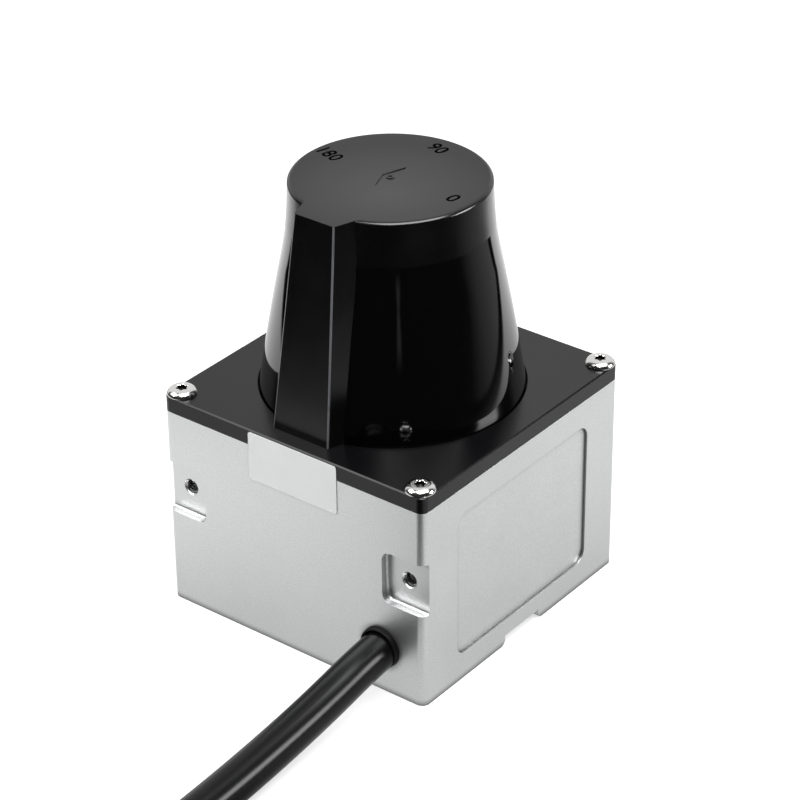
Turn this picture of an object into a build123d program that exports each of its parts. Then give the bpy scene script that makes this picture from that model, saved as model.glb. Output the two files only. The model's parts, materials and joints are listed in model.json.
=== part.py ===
from build123d import *
from math import acos, cos, pi, radians, sin, tan
import os

os.makedirs("parts", exist_ok=True)

# A compact 2-D scanning range finder: a square metal housing, a flat lid, a flared hood that the
# laser looks through, and a cap on the hood with a rib that carries the wiring down to the housing.
# Millimetres. +Z is up, +Y is the middle of the scanned field, and the origin is at the centre of
# the underside.

# Housing
base_side = 60.0
housing_height = 41.0
corner_radius = 1.6
wall = 2.2
floor_thickness = 2.6
block_width = 9.4
block_depth = 6.7
inner_fillet = 1.0

# Rear mounting pads with their threaded holes
pad_width = 9.3
pad_height = 10.8
pad_centre_z = 24.8
pad_depth = 1.7
pad_corner = 1.9
pad_floor_fillet = 0.7
mount_hole_side_inset = 4.4
mount_hole_z = 25.0
mount_hole_radius = 1.5
mount_hole_depth = 4.0

# Recessed field on the side, and the slot in the lower edge below it
field_width = 40.2
field_height = 30.2
field_corner = 2.7
field_depth = 0.5
slot_width = 10.6
slot_height = 2.0
slot_depth = 3.2
slot_fillet = 1.2

# Lid and its screws
lid_thickness = 3.2
lid_edge_break = 0.25
lid_opening_radius = 21.6
gasket_width = 0.9
gasket_height = 0.7
lid_screw_inset = 2.55
lid_screw_head_radius = 2.82
lid_screw_head_height = 1.25
lid_screw_grip = 5.0
lid_hole_radius = 1.7
hanger_offset = 17.1
hanger_radius = 2.3
hanger_length = 12.0

# Hood and cap
hood_base_radius = 24.6
hood_belly_radius = 22.6
hood_belly_height = 12.0
hood_neck_radius = 19.89
hood_neck_height = 26.4
hood_seam_radius = 18.87
hood_seam_height = 32.8
hood_wall = 1.7
hood_foot_depth = 1.0
seal_thickness = 0.3
groove_edge_break = 0.2
spigot_radius = 17.75
spigot_length = 4.0
cap_headroom = 0.8
cap_rim_radius = 18.42
cap_waist_radius = 18.58
cap_plate = 2.5
rim_fillet = 0.8

# Rib behind the hood
rib_foot_half = 6.3
rib_foot_offset = 2.2
rib_head_half = 4.4
rib_head_offset = 2.98
rib_flare = 0.34
rib_run = 5.0
rib_edge_fillet = 0.35
channel_half_width = 3.5
channel_back_wall = 1.05

# Pointer let into the cap
pointer_front = 4.7
pointer_back = 4.5
pointer_half_width = 1.65
pointer_depth = 0.15
pointer_hub_radius = 0.75
pointer_dimple_radius = 0.4

# Label over the joint of lid and housing
label_width = 20.3
label_height = 9.9
label_centre_x = 0.65
label_top_inset = 0.4
label_thickness = 0.15
label_corner = 0.6

# Cable and its way through the rear wall
cable_diameter = 7.4
cable_side_inset = 9.7
cable_z = 9.4
cable_stub = 0.5
grommet_lip = 1.0
grommet_sleeve = 0.35
grommet_flange_radius = 5.35
grommet_flange_length = 4.1
entry_boss_reach = 8.3
entry_boss_height = 13.5
clamp_thickness = 1.5
clamp_height = 13.3
clamp_screw_x = 4.7
clamp_screw_z = 4.85
clamp_screw_radius = 0.95
clamp_screw_head_radius = 1.45
clamp_screw_length = 5.0
lead_radius = 0.45
lead_pitch = 1.25
leads = 4

# Cable outside: it falls to the floor, runs to a coil, and ends in a round plug beside it
floor_gap = 0.05
coil_radius = 40.2
coil_y = -125.0
coil_turn_step = 7.4
coil_corner = 2.1
tail_level_run = 15.0
tail_drop_run = 20.0
tail_end_run = 10.0
tail_shift = 3.0
tie_width = 5.0
tie_thickness = 0.8
plug_grip_length = 28.0
plug_grip_radius = 6.3
plug_tail_radius = 4.5
plug_ridges = 6
plug_nut_radius = 7.2
plug_nut_length = 9.0
plug_sleeve_radius = 6.0
plug_sleeve_length = 8.0
plug_sleeve_wall = 0.8
plug_neck_radius = 4.3
plug_collar_length = 2.0
plug_face_recess = 3.0
plug_pin_radius = 0.4
plug_pin_circle = 2.75
plug_pins_around = 7

# Boards
board_thickness = 1.6
board_side_clearance = 1.8
board_end_clearance = 0.8
board_boss_radius = 3.0
board_boss_height = 4.0
board_fixing_side_inset = 4.0
board_fixing_end_inset = 7.0
standoff_across_flats = 5.0
board_screw_radius = 1.2
board_screw_head_radius = 2.2
board_screw_head_height = 1.3

# What stands on the main board
processor_side = 12.0
processor_height = 1.4
processor_x = -5.0
processor_y = 3.0
memory_length = 8.0
memory_width = 6.0
memory_height = 1.1
memory_x = 8.0
memory_y = 8.0
driver_side = 7.0
driver_height = 1.0
driver_y = -5.0
link_length = 16.0
link_width = 4.0
link_x = -2.0
link_inset = 3.0
header_depth = 3.0
header_height = 3.0
flex_socket_height = 2.0
socket_end_wall = 1.0
capacitor_radius = 2.5
capacitor_headroom = 2.5
capacitor_pitch = 8.0
capacitor_inset = 8.0

# Receiver under the hollow shaft
receiver_barrel_radius = 8.5
receiver_bore_radius = 6.2
receiver_barrel_height = 8.7
receiver_lens_radius = 6.7
receiver_lens_thickness = 2.8
receiver_lens_seat = 5.2
receiver_headroom = 0.5
detector_side = 5.0
detector_height = 1.5

# Motor
bracket_radius = 23.0
bracket_thickness = 2.0
bracket_ear_radius = 3.0
bracket_opening_radius = 9.0
bearing_tube_radius = 12.0
bearing_tube_height = 11.5
bearing_outer_radius = 10.5
bearing_inner_radius = 7.5
bearing_width = 4.0
bearing_spacing = 2.0
bearing_seat_height = 1.0
stator_seat_height = 2.5
stator_seat_radius = 13.2
stator_height = 5.0
stator_yoke_radius = 13.9
stator_radius = 18.2
stator_teeth = 9
tooth_width = 2.4
shoe_depth = 1.2
shoe_angle = 30.0
winding_length = 2.6
winding_build = 1.15
magnet_inner_radius = 18.7
magnet_thickness = 1.6
magnet_height = 6.5

# Rotor
shaft_bore_radius = 6.5
shaft_length = 14.4
shaft_step_radius = 8.8
shaft_step_height = 1.2
cup_wall = 0.75
cup_drop = 10.5
flange_thickness = 1.5
clip_thickness = 0.7
clip_radius = 8.6
clip_groove_depth = 0.35
encoder_height = 1.4
encoder_slots = 36
encoder_slot_width = 1.0
encoder_slot_depth = 0.8

# Mirrors and their carrier
carrier_foot_radius = 16.0
carrier_foot = 1.6
carrier_radius = 15.0
carrier_screw_circle = 12.6
receive_mirror_height = 10.8
receive_block_top = 20.8
divider_radius = 17.0
divider_thickness = 1.0
emit_block_radius = 6.0
emit_mirror_height = 25.8
emit_block_height = 9.0
receive_mirror_half_width = 9.5
receive_mirror_half_length = 12.0
receive_mirror_thickness = 1.2
emit_mirror_half_width = 3.6
emit_mirror_half_length = 5.0
emit_mirror_thickness = 0.8

# Laser in the cap
laser_board_radius = 17.4
laser_board_thickness = 1.2
laser_barrel_radius = 4.2
laser_barrel_length = 5.4
laser_diode_radius = 2.8
laser_diode_length = 2.1
laser_lens_radius = 3.0
laser_lens_thickness = 1.5
laser_bore_radius = 2.3
cap_pillar_radius = 2.0
cap_pillar_circle = 12.0

# Flat lead from the cap down to the main board
flex_half_width = 3.0
flex_thickness = 0.25
flex_drop_clearance = 0.7
flex_head_inset = 1.9
flex_bend = 0.6

# Clearances
running_fit = 0.05
assembly_gap = 0.1
free_gap = 0.3

# Levels and faces worked out from the sizes above
half_side = base_side / 2
inner_half = half_side - wall
block_face = half_side - block_depth
block_side = half_side - block_width
lid_top = housing_height + lid_thickness
hood_seam_z = lid_top + hood_seam_height
spigot_top = hood_seam_z + spigot_length
laser_board_top = spigot_top + laser_board_thickness
cap_top = laser_board_top + cap_headroom + cap_plate
cap_ceiling = cap_top - cap_plate
cap_skirt_radius = spigot_radius + assembly_gap
mount_hole_x = half_side - mount_hole_side_inset
label_centre_z = lid_top - label_top_inset - label_height / 2
rib_foot_reach = hood_base_radius + rib_foot_offset
rib_head_reach = cap_rim_radius + rib_head_offset
flex_drop_y = hood_base_radius + flex_drop_clearance
flex_top_y = rib_head_reach - flex_head_inset
cable_radius = cable_diameter / 2
cable_x = half_side - cable_side_inset
entry_boss_left = cable_x - entry_boss_reach
cable_inner_end = block_face - clamp_thickness - cable_stub
board_length = 2 * (inner_half - board_side_clearance)
board_width = 2 * (block_face - clamp_thickness - board_end_clearance)
board_fixing_x = board_length / 2 - board_fixing_side_inset
board_fixing_y = board_width / 2 - board_fixing_end_inset
lid_screw_xy = half_side - lid_screw_inset
board_z = floor_thickness + board_boss_height
board_top = board_z + board_thickness
bracket_top = housing_height - hanger_length
bracket_z = bracket_top - bracket_thickness
receiver_board_top = bracket_z - receiver_headroom - receiver_barrel_height
receiver_board_z = receiver_board_top - board_thickness
standoff_height = receiver_board_z - board_top
capacitor_height = standoff_height - capacitor_headroom
bearing_z = bracket_top + bearing_seat_height
upper_bearing_z = bearing_z + bearing_width + bearing_spacing
stator_z = bracket_top + stator_seat_height
flange_top = lid_top - hood_foot_depth - seal_thickness - assembly_gap
flange_z = flange_top - flange_thickness
cup_inner_radius = magnet_inner_radius + magnet_thickness + running_fit
cup_radius = cup_inner_radius + cup_wall
cup_bottom = flange_z - cup_drop
shaft_radius = bearing_inner_radius - running_fit
shaft_bottom = flange_top - shaft_length
receive_mirror_z = lid_top + receive_mirror_height
emit_mirror_z = lid_top + emit_mirror_height
divider_z = lid_top + receive_block_top
cable_floor_z = cable_radius + floor_gap
plug_z = plug_nut_radius + free_gap / 3

# Faces that sketches are laid on; their own axes run along the housing and up
rear_face = Plane(origin=(0, -half_side, 0), x_dir=(1, 0, 0), z_dir=(0, -1, 0))
side_face = Plane(origin=(half_side, 0, 0), x_dir=(0, 1, 0), z_dir=(1, 0, 0))
entry_face = rear_face.offset(-block_depth)


def inside_outline(growth):
    """Outline of the housing's inside: a square whose corners keep their solid blocks."""
    Rectangle(2 * (inner_half + growth), 2 * (block_face + growth))
    Rectangle(2 * (block_side + growth), 2 * (inner_half + growth))


def ring(outer, inner, bottom, height):
    """A plain ring about the Z axis, added to the part that is being built."""
    with BuildSketch(Plane.XY.offset(bottom)) as shape:
        Circle(outer)
        Circle(inner, mode=Mode.SUBTRACT)
    extrude(shape.sketch, amount=height)


def bore(radius, bottom, height):
    """A round hole about the Z axis, cut from the part that is being built."""
    with BuildSketch(Plane.XY.offset(bottom)) as shape:
        Circle(radius)
    extrude(shape.sketch, amount=height, mode=Mode.SUBTRACT)


def block(x_size, y_size, z_size, x, y, z):
    """A plain block standing on the level z, added to the part that is being built."""
    with BuildSketch(Plane.XY.offset(z)) as shape:
        with Locations((x, y)):
            Rectangle(x_size, y_size)
    extrude(shape.sketch, amount=z_size)


def cap_screw(head_radius, head_height, shank_radius, shank_length):
    """A screw with a domed head and a six-lobed recess; its head stands on the level zero."""
    crown = 0.5 * head_radius
    recess = 0.34 * head_radius
    with BuildPart() as screw:
        with BuildSketch(Plane.XZ):
            with BuildLine():
                Polyline((crown, head_height), (0, head_height), (0, -shank_length), (shank_radius, -shank_length))
                Polyline((shank_radius, -shank_length), (shank_radius, 0), (head_radius, 0))
                Line((head_radius, 0), (head_radius, 0.2 * head_height))
                ThreePointArc(
                    (head_radius, 0.2 * head_height),
                    (0.84 * head_radius, 0.74 * head_height),
                    (crown, head_height),
                )
            make_face()
        revolve(axis=Axis.Z)
        with BuildSketch(Plane.XY.offset(head_height)):
            Circle(recess)
            with PolarLocations(recess, 6):
                Circle(0.32 * recess)
        extrude(amount=-0.6 * head_height, mode=Mode.SUBTRACT)
    return screw.part


def socket_screw(head_radius, head_height, shank_radius, shank_length):
    """A screw with a plain round head and a hexagon socket; its head stands on the level zero."""
    with BuildPart() as screw:
        with BuildSketch():
            Circle(head_radius)
        extrude(amount=head_height)
        with BuildSketch():
            Circle(shank_radius)
        extrude(amount=-shank_length)
        with BuildSketch(Plane.XY.offset(head_height)):
            RegularPolygon(radius=0.55 * head_radius, side_count=6)
        extrude(amount=-0.6 * head_height, mode=Mode.SUBTRACT)
    return screw.part


def lens(radius, thickness):
    """A lens with a flat underside on the level zero and a bulged upper side."""
    edge = 0.45 * thickness
    with BuildPart() as glass:
        with BuildSketch(Plane.XZ):
            with BuildLine():
                Polyline((0, thickness), (0, 0), (radius, 0), (radius, edge))
                TangentArc((0, thickness), (radius, edge), tangent=(1, 0))
            make_face()
        revolve(axis=Axis.Z)
    return glass.part


def hood_side(growth):
    """The outer curve of the hood from the lid up to the seam, moved out by the growth."""
    ThreePointArc(
        (hood_base_radius + growth, lid_top),
        (hood_belly_radius + growth, lid_top + hood_belly_height),
        (hood_neck_radius + growth, lid_top + hood_neck_height),
    )
    neck_lean = 2 * (hood_base_radius - hood_neck_radius) / hood_neck_height
    neck_lean -= (hood_base_radius - hood_belly_radius) / hood_belly_height
    TangentArc(
        (hood_neck_radius + growth, lid_top + hood_neck_height),
        (hood_seam_radius + growth, hood_seam_z),
        tangent=(-neck_lean, 1),
    )


def bend_radii(points):
    """Radius for each corner of a route: nearly as wide as the shorter run beside it allows."""
    radii = []
    for before, corner, after in zip(points, points[1:], points[2:]):
        run_in = Vector(*corner) - Vector(*before)
        run_out = Vector(*after) - Vector(*corner)
        turn = acos(run_in.dot(run_out) / (run_in.length * run_out.length))
        radii.append(0.45 * min(run_in.length, run_out.length) / tan(turn / 2))
    return radii


def report_tube(name, points, tube):
    """Print the bends of a finished tube and compare its volume with section times length."""
    straight = sum((Vector(*b) - Vector(*a)).length for a, b in zip(points, points[1:]))
    share = tube.part.volume / (pi * cable_radius**2 * straight)
    bends = ", ".join(f"{radius:.0f}" for radius in bend_radii(points))
    print(f"{name}: bend radii {bends} mm, run {straight:.1f} mm, volume share {share:.3f}")


# Housing: one cast and machined piece, open at the top
with BuildPart() as base_housing:
    with BuildSketch():
        RectangleRounded(base_side, base_side, corner_radius)
    extrude(amount=housing_height)
    with BuildSketch(Plane.XY.offset(floor_thickness)) as inside:
        inside_outline(0)
        fillet(inside.vertices(), inner_fillet)
    extrude(amount=housing_height - floor_thickness, mode=Mode.SUBTRACT)
    with BuildSketch(Plane.XY.offset(housing_height)) as rebate:
        inside_outline(gasket_width)
        fillet(rebate.vertices(), inner_fillet)
    extrude(amount=-gasket_height, mode=Mode.SUBTRACT)
    with BuildSketch(Plane.XY.offset(housing_height)):
        with GridLocations(2 * lid_screw_xy, 2 * lid_screw_xy, 2, 2):
            Circle(mount_hole_radius)
    extrude(amount=-(housing_height - pad_centre_z - pad_height / 2 - wall), mode=Mode.SUBTRACT)

    # the two rear pads run out through the side faces
    with BuildSketch(rear_face):
        with Locations((-half_side, pad_centre_z), (half_side, pad_centre_z)):
            RectangleRounded(2 * pad_width, pad_height, pad_corner)
    extrude(amount=-pad_depth, mode=Mode.SUBTRACT)
    pad_floor = rear_face.offset(-pad_depth)
    pad_floor_edges = [
        edge
        for edge in base_housing.edges()
        if abs(pad_floor.to_local_coords(edge.center()).Z) < 0.01 and abs(edge.center().X) < half_side - 0.01
    ]
    fillet(pad_floor_edges, pad_floor_fillet)
    with BuildSketch(rear_face):
        with Locations((-mount_hole_x, mount_hole_z), (mount_hole_x, mount_hole_z)):
            Circle(mount_hole_radius)
    extrude(amount=-(pad_depth + mount_hole_depth), mode=Mode.SUBTRACT)

    # recessed field and slot on the right side
    with BuildSketch(side_face):
        with Locations((0, housing_height / 2)):
            RectangleRounded(field_width, field_height, field_corner)
    extrude(amount=-field_depth, mode=Mode.SUBTRACT)
    with BuildSketch(side_face):
        Rectangle(slot_width, 2 * slot_height)
    extrude(amount=-slot_depth, mode=Mode.SUBTRACT)
    slot_corners = [
        edge
        for edge in base_housing.edges().filter_by(Axis.X)
        if abs(edge.center().Z) < 0.01 and abs(abs(edge.center().Y) - slot_width / 2) < 0.01
    ]
    fillet(slot_corners, slot_fillet)

    # cable entry: a boss beside the corner block, its bore, and the seat for the grommet
    entry_boss_width = block_side - entry_boss_left
    block(
        entry_boss_width,
        inner_half - block_face,
        entry_boss_height,
        entry_boss_left + entry_boss_width / 2,
        -(inner_half + block_face) / 2,
        floor_thickness,
    )
    with BuildSketch(rear_face):
        with Locations((cable_x, cable_z)):
            Circle(cable_radius + grommet_sleeve + running_fit)
    extrude(amount=-block_depth, mode=Mode.SUBTRACT)
    with BuildSketch(entry_face):
        with Locations((cable_x, cable_z)):
            Circle(grommet_flange_radius + running_fit)
    extrude(amount=grommet_flange_length + assembly_gap, mode=Mode.SUBTRACT)
    with BuildSketch(entry_face):
        with Locations(
            (cable_x - clamp_screw_x, cable_z + clamp_screw_z),
            (cable_x + clamp_screw_x, cable_z - clamp_screw_z),
        ):
            Circle(clamp_screw_radius + running_fit)
    extrude(amount=clamp_screw_length - clamp_thickness, mode=Mode.SUBTRACT)

    # bosses that the main board stands on
    with BuildSketch(Plane.XY.offset(floor_thickness)):
        with GridLocations(2 * board_fixing_x, 2 * board_fixing_y, 2, 2):
            Circle(board_boss_radius)
    extrude(amount=board_boss_height)
    with BuildSketch(Plane.XY.offset(board_z)):
        with GridLocations(2 * board_fixing_x, 2 * board_fixing_y, 2, 2):
            Circle(board_screw_radius + running_fit)
    extrude(amount=-board_boss_height, mode=Mode.SUBTRACT)
base_housing.part.label = "base_housing"
export_step(base_housing.part, "parts/base_housing.step")

# Lid, with the four posts that the motor bracket hangs from
with BuildPart() as lid_plate:
    with BuildSketch(Plane.XY.offset(housing_height)):
        RectangleRounded(base_side, base_side, corner_radius)
    extrude(amount=lid_thickness)
    chamfer(lid_plate.edges().group_by(Axis.Z)[-1], lid_edge_break)
    with BuildSketch(Plane.XY.offset(housing_height)):
        with GridLocations(2 * hanger_offset, 2 * hanger_offset, 2, 2):
            Circle(hanger_radius)
    extrude(amount=-hanger_length)
    bore(lid_opening_radius, housing_height, lid_thickness)
    groove_bottom = lid_top - hood_foot_depth - seal_thickness
    groove_outer = hood_base_radius + assembly_gap
    groove_inner = hood_base_radius - hood_wall - assembly_gap
    with BuildSketch(Plane.XZ):
        with BuildLine():
            Polyline(
                (groove_inner, lid_top),
                (groove_inner, groove_bottom),
                (groove_outer, groove_bottom),
                (groove_outer, lid_top - groove_edge_break),
                (groove_outer + groove_edge_break, lid_top),
                close=True,
            )
        make_face()
    revolve(axis=Axis.Z, mode=Mode.SUBTRACT)
    with BuildSketch(Plane.XY.offset(lid_top)):
        with Locations((0, -flex_drop_y)):
            Rectangle(2 * (flex_half_width + free_gap), 4 * free_gap)
    extrude(amount=-lid_thickness, mode=Mode.SUBTRACT)
    with BuildSketch(Plane.XY.offset(lid_top)):
        with GridLocations(2 * lid_screw_xy, 2 * lid_screw_xy, 2, 2):
            Circle(lid_hole_radius)
    extrude(amount=-lid_thickness, mode=Mode.SUBTRACT)
    with BuildSketch(Plane.XY.offset(bracket_top)):
        with GridLocations(2 * hanger_offset, 2 * hanger_offset, 2, 2):
            Circle(board_screw_radius + running_fit)
    extrude(amount=hanger_length / 2, mode=Mode.SUBTRACT)
lid_plate.part.label = "lid_plate"
export_step(lid_plate.part, "parts/lid_plate.step")

with BuildPart() as lid_gasket:
    with BuildSketch(Plane.XY.offset(housing_height - gasket_height)) as gasket_outer:
        inside_outline(gasket_width - assembly_gap)
        fillet(gasket_outer.vertices(), inner_fillet)
    extrude(amount=gasket_height)
    with BuildSketch(Plane.XY.offset(housing_height - gasket_height)) as gasket_inner:
        inside_outline(0)
        fillet(gasket_inner.vertices(), inner_fillet)
    extrude(amount=gasket_height, mode=Mode.SUBTRACT)
lid_gasket.part.label = "lid_gasket"
export_step(lid_gasket.part, "parts/lid_gasket.step")

lid_screw = cap_screw(
    lid_screw_head_radius,
    lid_screw_head_height,
    mount_hole_radius - running_fit,
    lid_thickness + lid_screw_grip,
)
with BuildPart() as lid_screws:
    with Locations((0, 0, lid_top)):
        with GridLocations(2 * lid_screw_xy, 2 * lid_screw_xy, 2, 2):
            add(lid_screw)
lid_screws.part.label = "lid_screws"
export_step(lid_screws.part, "parts/lid_screws.step")

# Hood: the dark window that the beam passes through, with a spigot for the cap
with BuildPart() as optical_window:
    hood_inner_base = hood_base_radius - hood_wall
    with BuildSketch(Plane.XZ):
        with BuildLine():
            hood_side(0)
            Polyline(
                (hood_seam_radius, hood_seam_z),
                (spigot_radius, hood_seam_z),
                (spigot_radius, spigot_top),
                (spigot_radius - hood_wall, spigot_top),
                (spigot_radius - hood_wall, hood_seam_z - hood_wall),
                (hood_neck_radius - hood_wall, lid_top + hood_neck_height),
                (hood_belly_radius - hood_wall, lid_top + hood_belly_height),
                (hood_inner_base, lid_top),
                (hood_inner_base, lid_top - hood_foot_depth),
                (hood_base_radius, lid_top - hood_foot_depth),
                (hood_base_radius, lid_top),
            )
        make_face()
    revolve(axis=Axis.Z)
optical_window.part.label = "optical_window"
export_step(optical_window.part, "parts/optical_window.step")

with BuildPart() as window_seal:
    ring(
        hood_base_radius - assembly_gap,
        hood_base_radius - hood_wall,
        lid_top - hood_foot_depth - seal_thickness,
        seal_thickness,
    )
window_seal.part.label = "window_seal"
export_step(window_seal.part, "parts/window_seal.step")

# Cap and rib: one moulding
with BuildPart() as top_cap:
    with BuildSketch(Plane.XZ):
        with BuildLine():
            cap_rim_z = cap_top - rim_fillet
            ThreePointArc(
                (hood_seam_radius, hood_seam_z),
                (cap_waist_radius, (hood_seam_z + cap_rim_z) / 2),
                (cap_rim_radius, cap_rim_z),
            )
            CenterArc((cap_rim_radius - rim_fillet, cap_rim_z), rim_fillet, 0, 90)
            Polyline(
                (cap_rim_radius - rim_fillet, cap_top),
                (0, cap_top),
                (0, hood_seam_z),
                (hood_seam_radius, hood_seam_z),
            )
        make_face()
    revolve(axis=Axis.Z)

    # the rib widens towards its foot and leans out with the hood
    for level, half, reach in (
        (cap_top, rib_head_half, rib_head_reach),
        (lid_top, rib_foot_half, rib_foot_reach),
    ):
        with BuildSketch(Plane.XY.offset(level)):
            Polygon(
                (-half, -reach),
                (half, -reach),
                (half + rib_flare * rib_run, rib_run - reach),
                (-half - rib_flare * rib_run, rib_run - reach),
                align=None,
            )
    loft()
    rib_edges = [
        edge
        for edge in top_cap.edges()
        if edge.length > cap_top - lid_top and edge.center().Y < -(rib_head_reach + rib_foot_reach) / 2 + 0.1
    ]
    fillet(rib_edges, rib_edge_fillet)
    with BuildSketch(Plane.XZ):
        with BuildLine():
            hood_side(assembly_gap)
            Polyline(
                (hood_seam_radius + assembly_gap, hood_seam_z),
                (0, hood_seam_z),
                (0, lid_top),
                (hood_base_radius + assembly_gap, lid_top),
            )
        make_face()
    revolve(axis=Axis.Z, mode=Mode.SUBTRACT)
    bore(cap_skirt_radius, hood_seam_z, cap_ceiling - hood_seam_z)
    with BuildSketch(Plane.XY.offset(cap_ceiling)):
        with Locations(
            Location((0, cap_pillar_circle)),
            Location((cap_pillar_circle * cos(radians(200)), cap_pillar_circle * sin(radians(200)))),
            Location((cap_pillar_circle * cos(radians(340)), cap_pillar_circle * sin(radians(340)))),
        ):
            Circle(cap_pillar_radius)
    extrude(amount=laser_board_top - cap_ceiling)

    # channel for the flat lead, from the inside of the skirt down to the lid
    channel_top = cap_ceiling - assembly_gap
    channel_head = flex_top_y + 0.4
    for level, reach in ((channel_top, channel_head), (lid_top, rib_foot_reach - channel_back_wall)):
        with BuildSketch(Plane.XY.offset(level)):
            with Locations((0, -reach + 2)):
                Rectangle(2 * channel_half_width, 4)
    loft(mode=Mode.SUBTRACT)

    # pointer in the top face, with a hub standing in it
    with BuildSketch(Plane.XY.offset(cap_top)):
        Polygon(
            (0, pointer_front),
            (pointer_half_width, 0),
            (0, -pointer_back),
            (-pointer_half_width, 0),
            align=None,
        )
        Circle(pointer_hub_radius, mode=Mode.SUBTRACT)
        Circle(pointer_dimple_radius)
    extrude(amount=-pointer_depth, mode=Mode.SUBTRACT)
top_cap.part.label = "top_cap"
export_step(top_cap.part, "parts/top_cap.step")

with BuildPart() as seal_label:
    with BuildSketch(rear_face):
        with Locations((label_centre_x, label_centre_z)):
            RectangleRounded(label_width, label_height, label_corner)
    extrude(amount=label_thickness)
seal_label.part.label = "seal_label"
export_step(seal_label.part, "parts/seal_label.step")

# Cable entry: grommet, clamp plate, its two screws, and the leads to the board
with BuildPart() as cable_grommet:
    with BuildSketch(entry_face.offset(assembly_gap)):
        with Locations((cable_x, cable_z)):
            Circle(grommet_flange_radius)
    extrude(amount=grommet_flange_length)
    with BuildSketch(entry_face.offset(assembly_gap)):
        with Locations((cable_x, cable_z)):
            Circle(cable_radius + grommet_sleeve)
    extrude(amount=block_depth + grommet_lip - assembly_gap)
    lip_edge = cable_grommet.faces().sort_by(Axis.Y)[0].outer_wire().edges()
    fillet(lip_edge, grommet_sleeve / 2)
    with BuildSketch(entry_face):
        with Locations((cable_x, cable_z)):
            Circle(cable_radius)
    extrude(amount=block_depth + grommet_lip, mode=Mode.SUBTRACT)
cable_grommet.part.label = "cable_grommet"
export_step(cable_grommet.part, "parts/cable_grommet.step")

clamp_face = entry_face.offset(-clamp_thickness)
clamp_sink = clamp_screw_head_radius - clamp_screw_radius
with BuildPart() as cable_clamp:
    with BuildSketch(clamp_face):
        with Locations((cable_x, cable_z)):
            RectangleRounded(2 * (inner_half - inner_fillet - cable_x), clamp_height, inner_fillet)
            Circle(cable_radius + 2 * assembly_gap, mode=Mode.SUBTRACT)
        with Locations(
            (cable_x - clamp_screw_x, cable_z + clamp_screw_z),
            (cable_x + clamp_screw_x, cable_z - clamp_screw_z),
        ):
            Circle(clamp_screw_radius + running_fit, mode=Mode.SUBTRACT)
    extrude(amount=clamp_thickness)
    with BuildSketch(clamp_face):
        with Locations(
            (cable_x - clamp_screw_x, cable_z + clamp_screw_z),
            (cable_x + clamp_screw_x, cable_z - clamp_screw_z),
        ):
            Circle(clamp_screw_head_radius + running_fit)
    extrude(amount=clamp_sink, taper=45, mode=Mode.SUBTRACT)
cable_clamp.part.label = "cable_clamp"
export_step(cable_clamp.part, "parts/cable_clamp.step")

with BuildPart() as clamp_screws:
    for radius, length, lean in (
        (clamp_screw_head_radius, clamp_sink, 45),
        (clamp_screw_radius, clamp_screw_length - assembly_gap, 0),
    ):
        with BuildSketch(clamp_face):
            with Locations(
                (cable_x - clamp_screw_x, cable_z + clamp_screw_z),
                (cable_x + clamp_screw_x, cable_z - clamp_screw_z),
            ):
                Circle(radius)
        extrude(amount=length, taper=lean)
clamp_screws.part.label = "clamp_screws"
export_step(clamp_screws.part, "parts/clamp_screws.step")

header_rear = board_width / 2 - 2 * free_gap
with BuildPart() as cable_leads:
    with BuildSketch(rear_face.offset(header_rear - half_side)):
        with Locations((cable_x, cable_z)):
            with GridLocations(lead_pitch, 1, leads, 1):
                Circle(lead_radius)
    extrude(amount=cable_inner_end - header_rear)
cable_leads.part.label = "cable_leads"
export_step(cable_leads.part, "parts/cable_leads.step")

# Cable outside: down to the floor, then along it to the coil
coil_x = cable_x + coil_radius + free_gap
cable_route = [
    (cable_x, -cable_inner_end, cable_z),
    (cable_x, -half_side - grommet_lip, cable_z),
    (cable_x, -50.7, 5.75),
    (cable_x + 0.4, -75.0, 4.0),
    (cable_x + 0.7, -100.0, 3.8),
    (coil_x - coil_radius, coil_y, cable_floor_z),
]
with BuildPart() as cable:
    with BuildLine() as cable_line:
        FilletPolyline(*cable_route, radius=bend_radii(cable_route))
    with BuildSketch(Plane(origin=cable_line.line @ 0, z_dir=cable_line.line % 0)):
        Circle(cable_radius)
    sweep()
cable.part.label = "cable"
export_step(cable.part, "parts/cable.step")
report_tube("cable", cable_route, cable)

coil_axis = Axis((coil_x, coil_y, 0), (0, 0, 1))
coil_top = floor_gap + 2 * coil_turn_step
with BuildPart() as cable_coil:
    with BuildSketch(Plane(origin=(coil_x, coil_y, floor_gap), x_dir=(1, 0, 0), z_dir=(0, -1, 0))) as section:
        with Locations((coil_radius - coil_turn_step / 2, coil_turn_step)):
            Rectangle(2 * coil_turn_step, 2 * coil_turn_step)
        chamfer(section.vertices(), coil_corner)
    revolve(axis=coil_axis)
cable_coil.part.label = "cable_coil"
export_step(cable_coil.part, "parts/cable_coil.step")

with BuildPart() as coil_tie:
    tie_y = coil_y + coil_radius - coil_turn_step / 2
    block(
        tie_width,
        2 * coil_turn_step + 2 * tie_thickness,
        coil_top + tie_thickness,
        coil_x,
        tie_y,
        floor_gap / 2,
    )
    with BuildSketch(Plane.XY.offset(floor_gap / 2 + tie_thickness)):
        with Locations((coil_x, tie_y)):
            Rectangle(2 * tie_width, 2 * coil_turn_step)
    extrude(amount=coil_top - tie_thickness, mode=Mode.SUBTRACT)
coil_tie.part.label = "coil_tie"
export_step(coil_tie.part, "parts/coil_tie.step")

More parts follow.
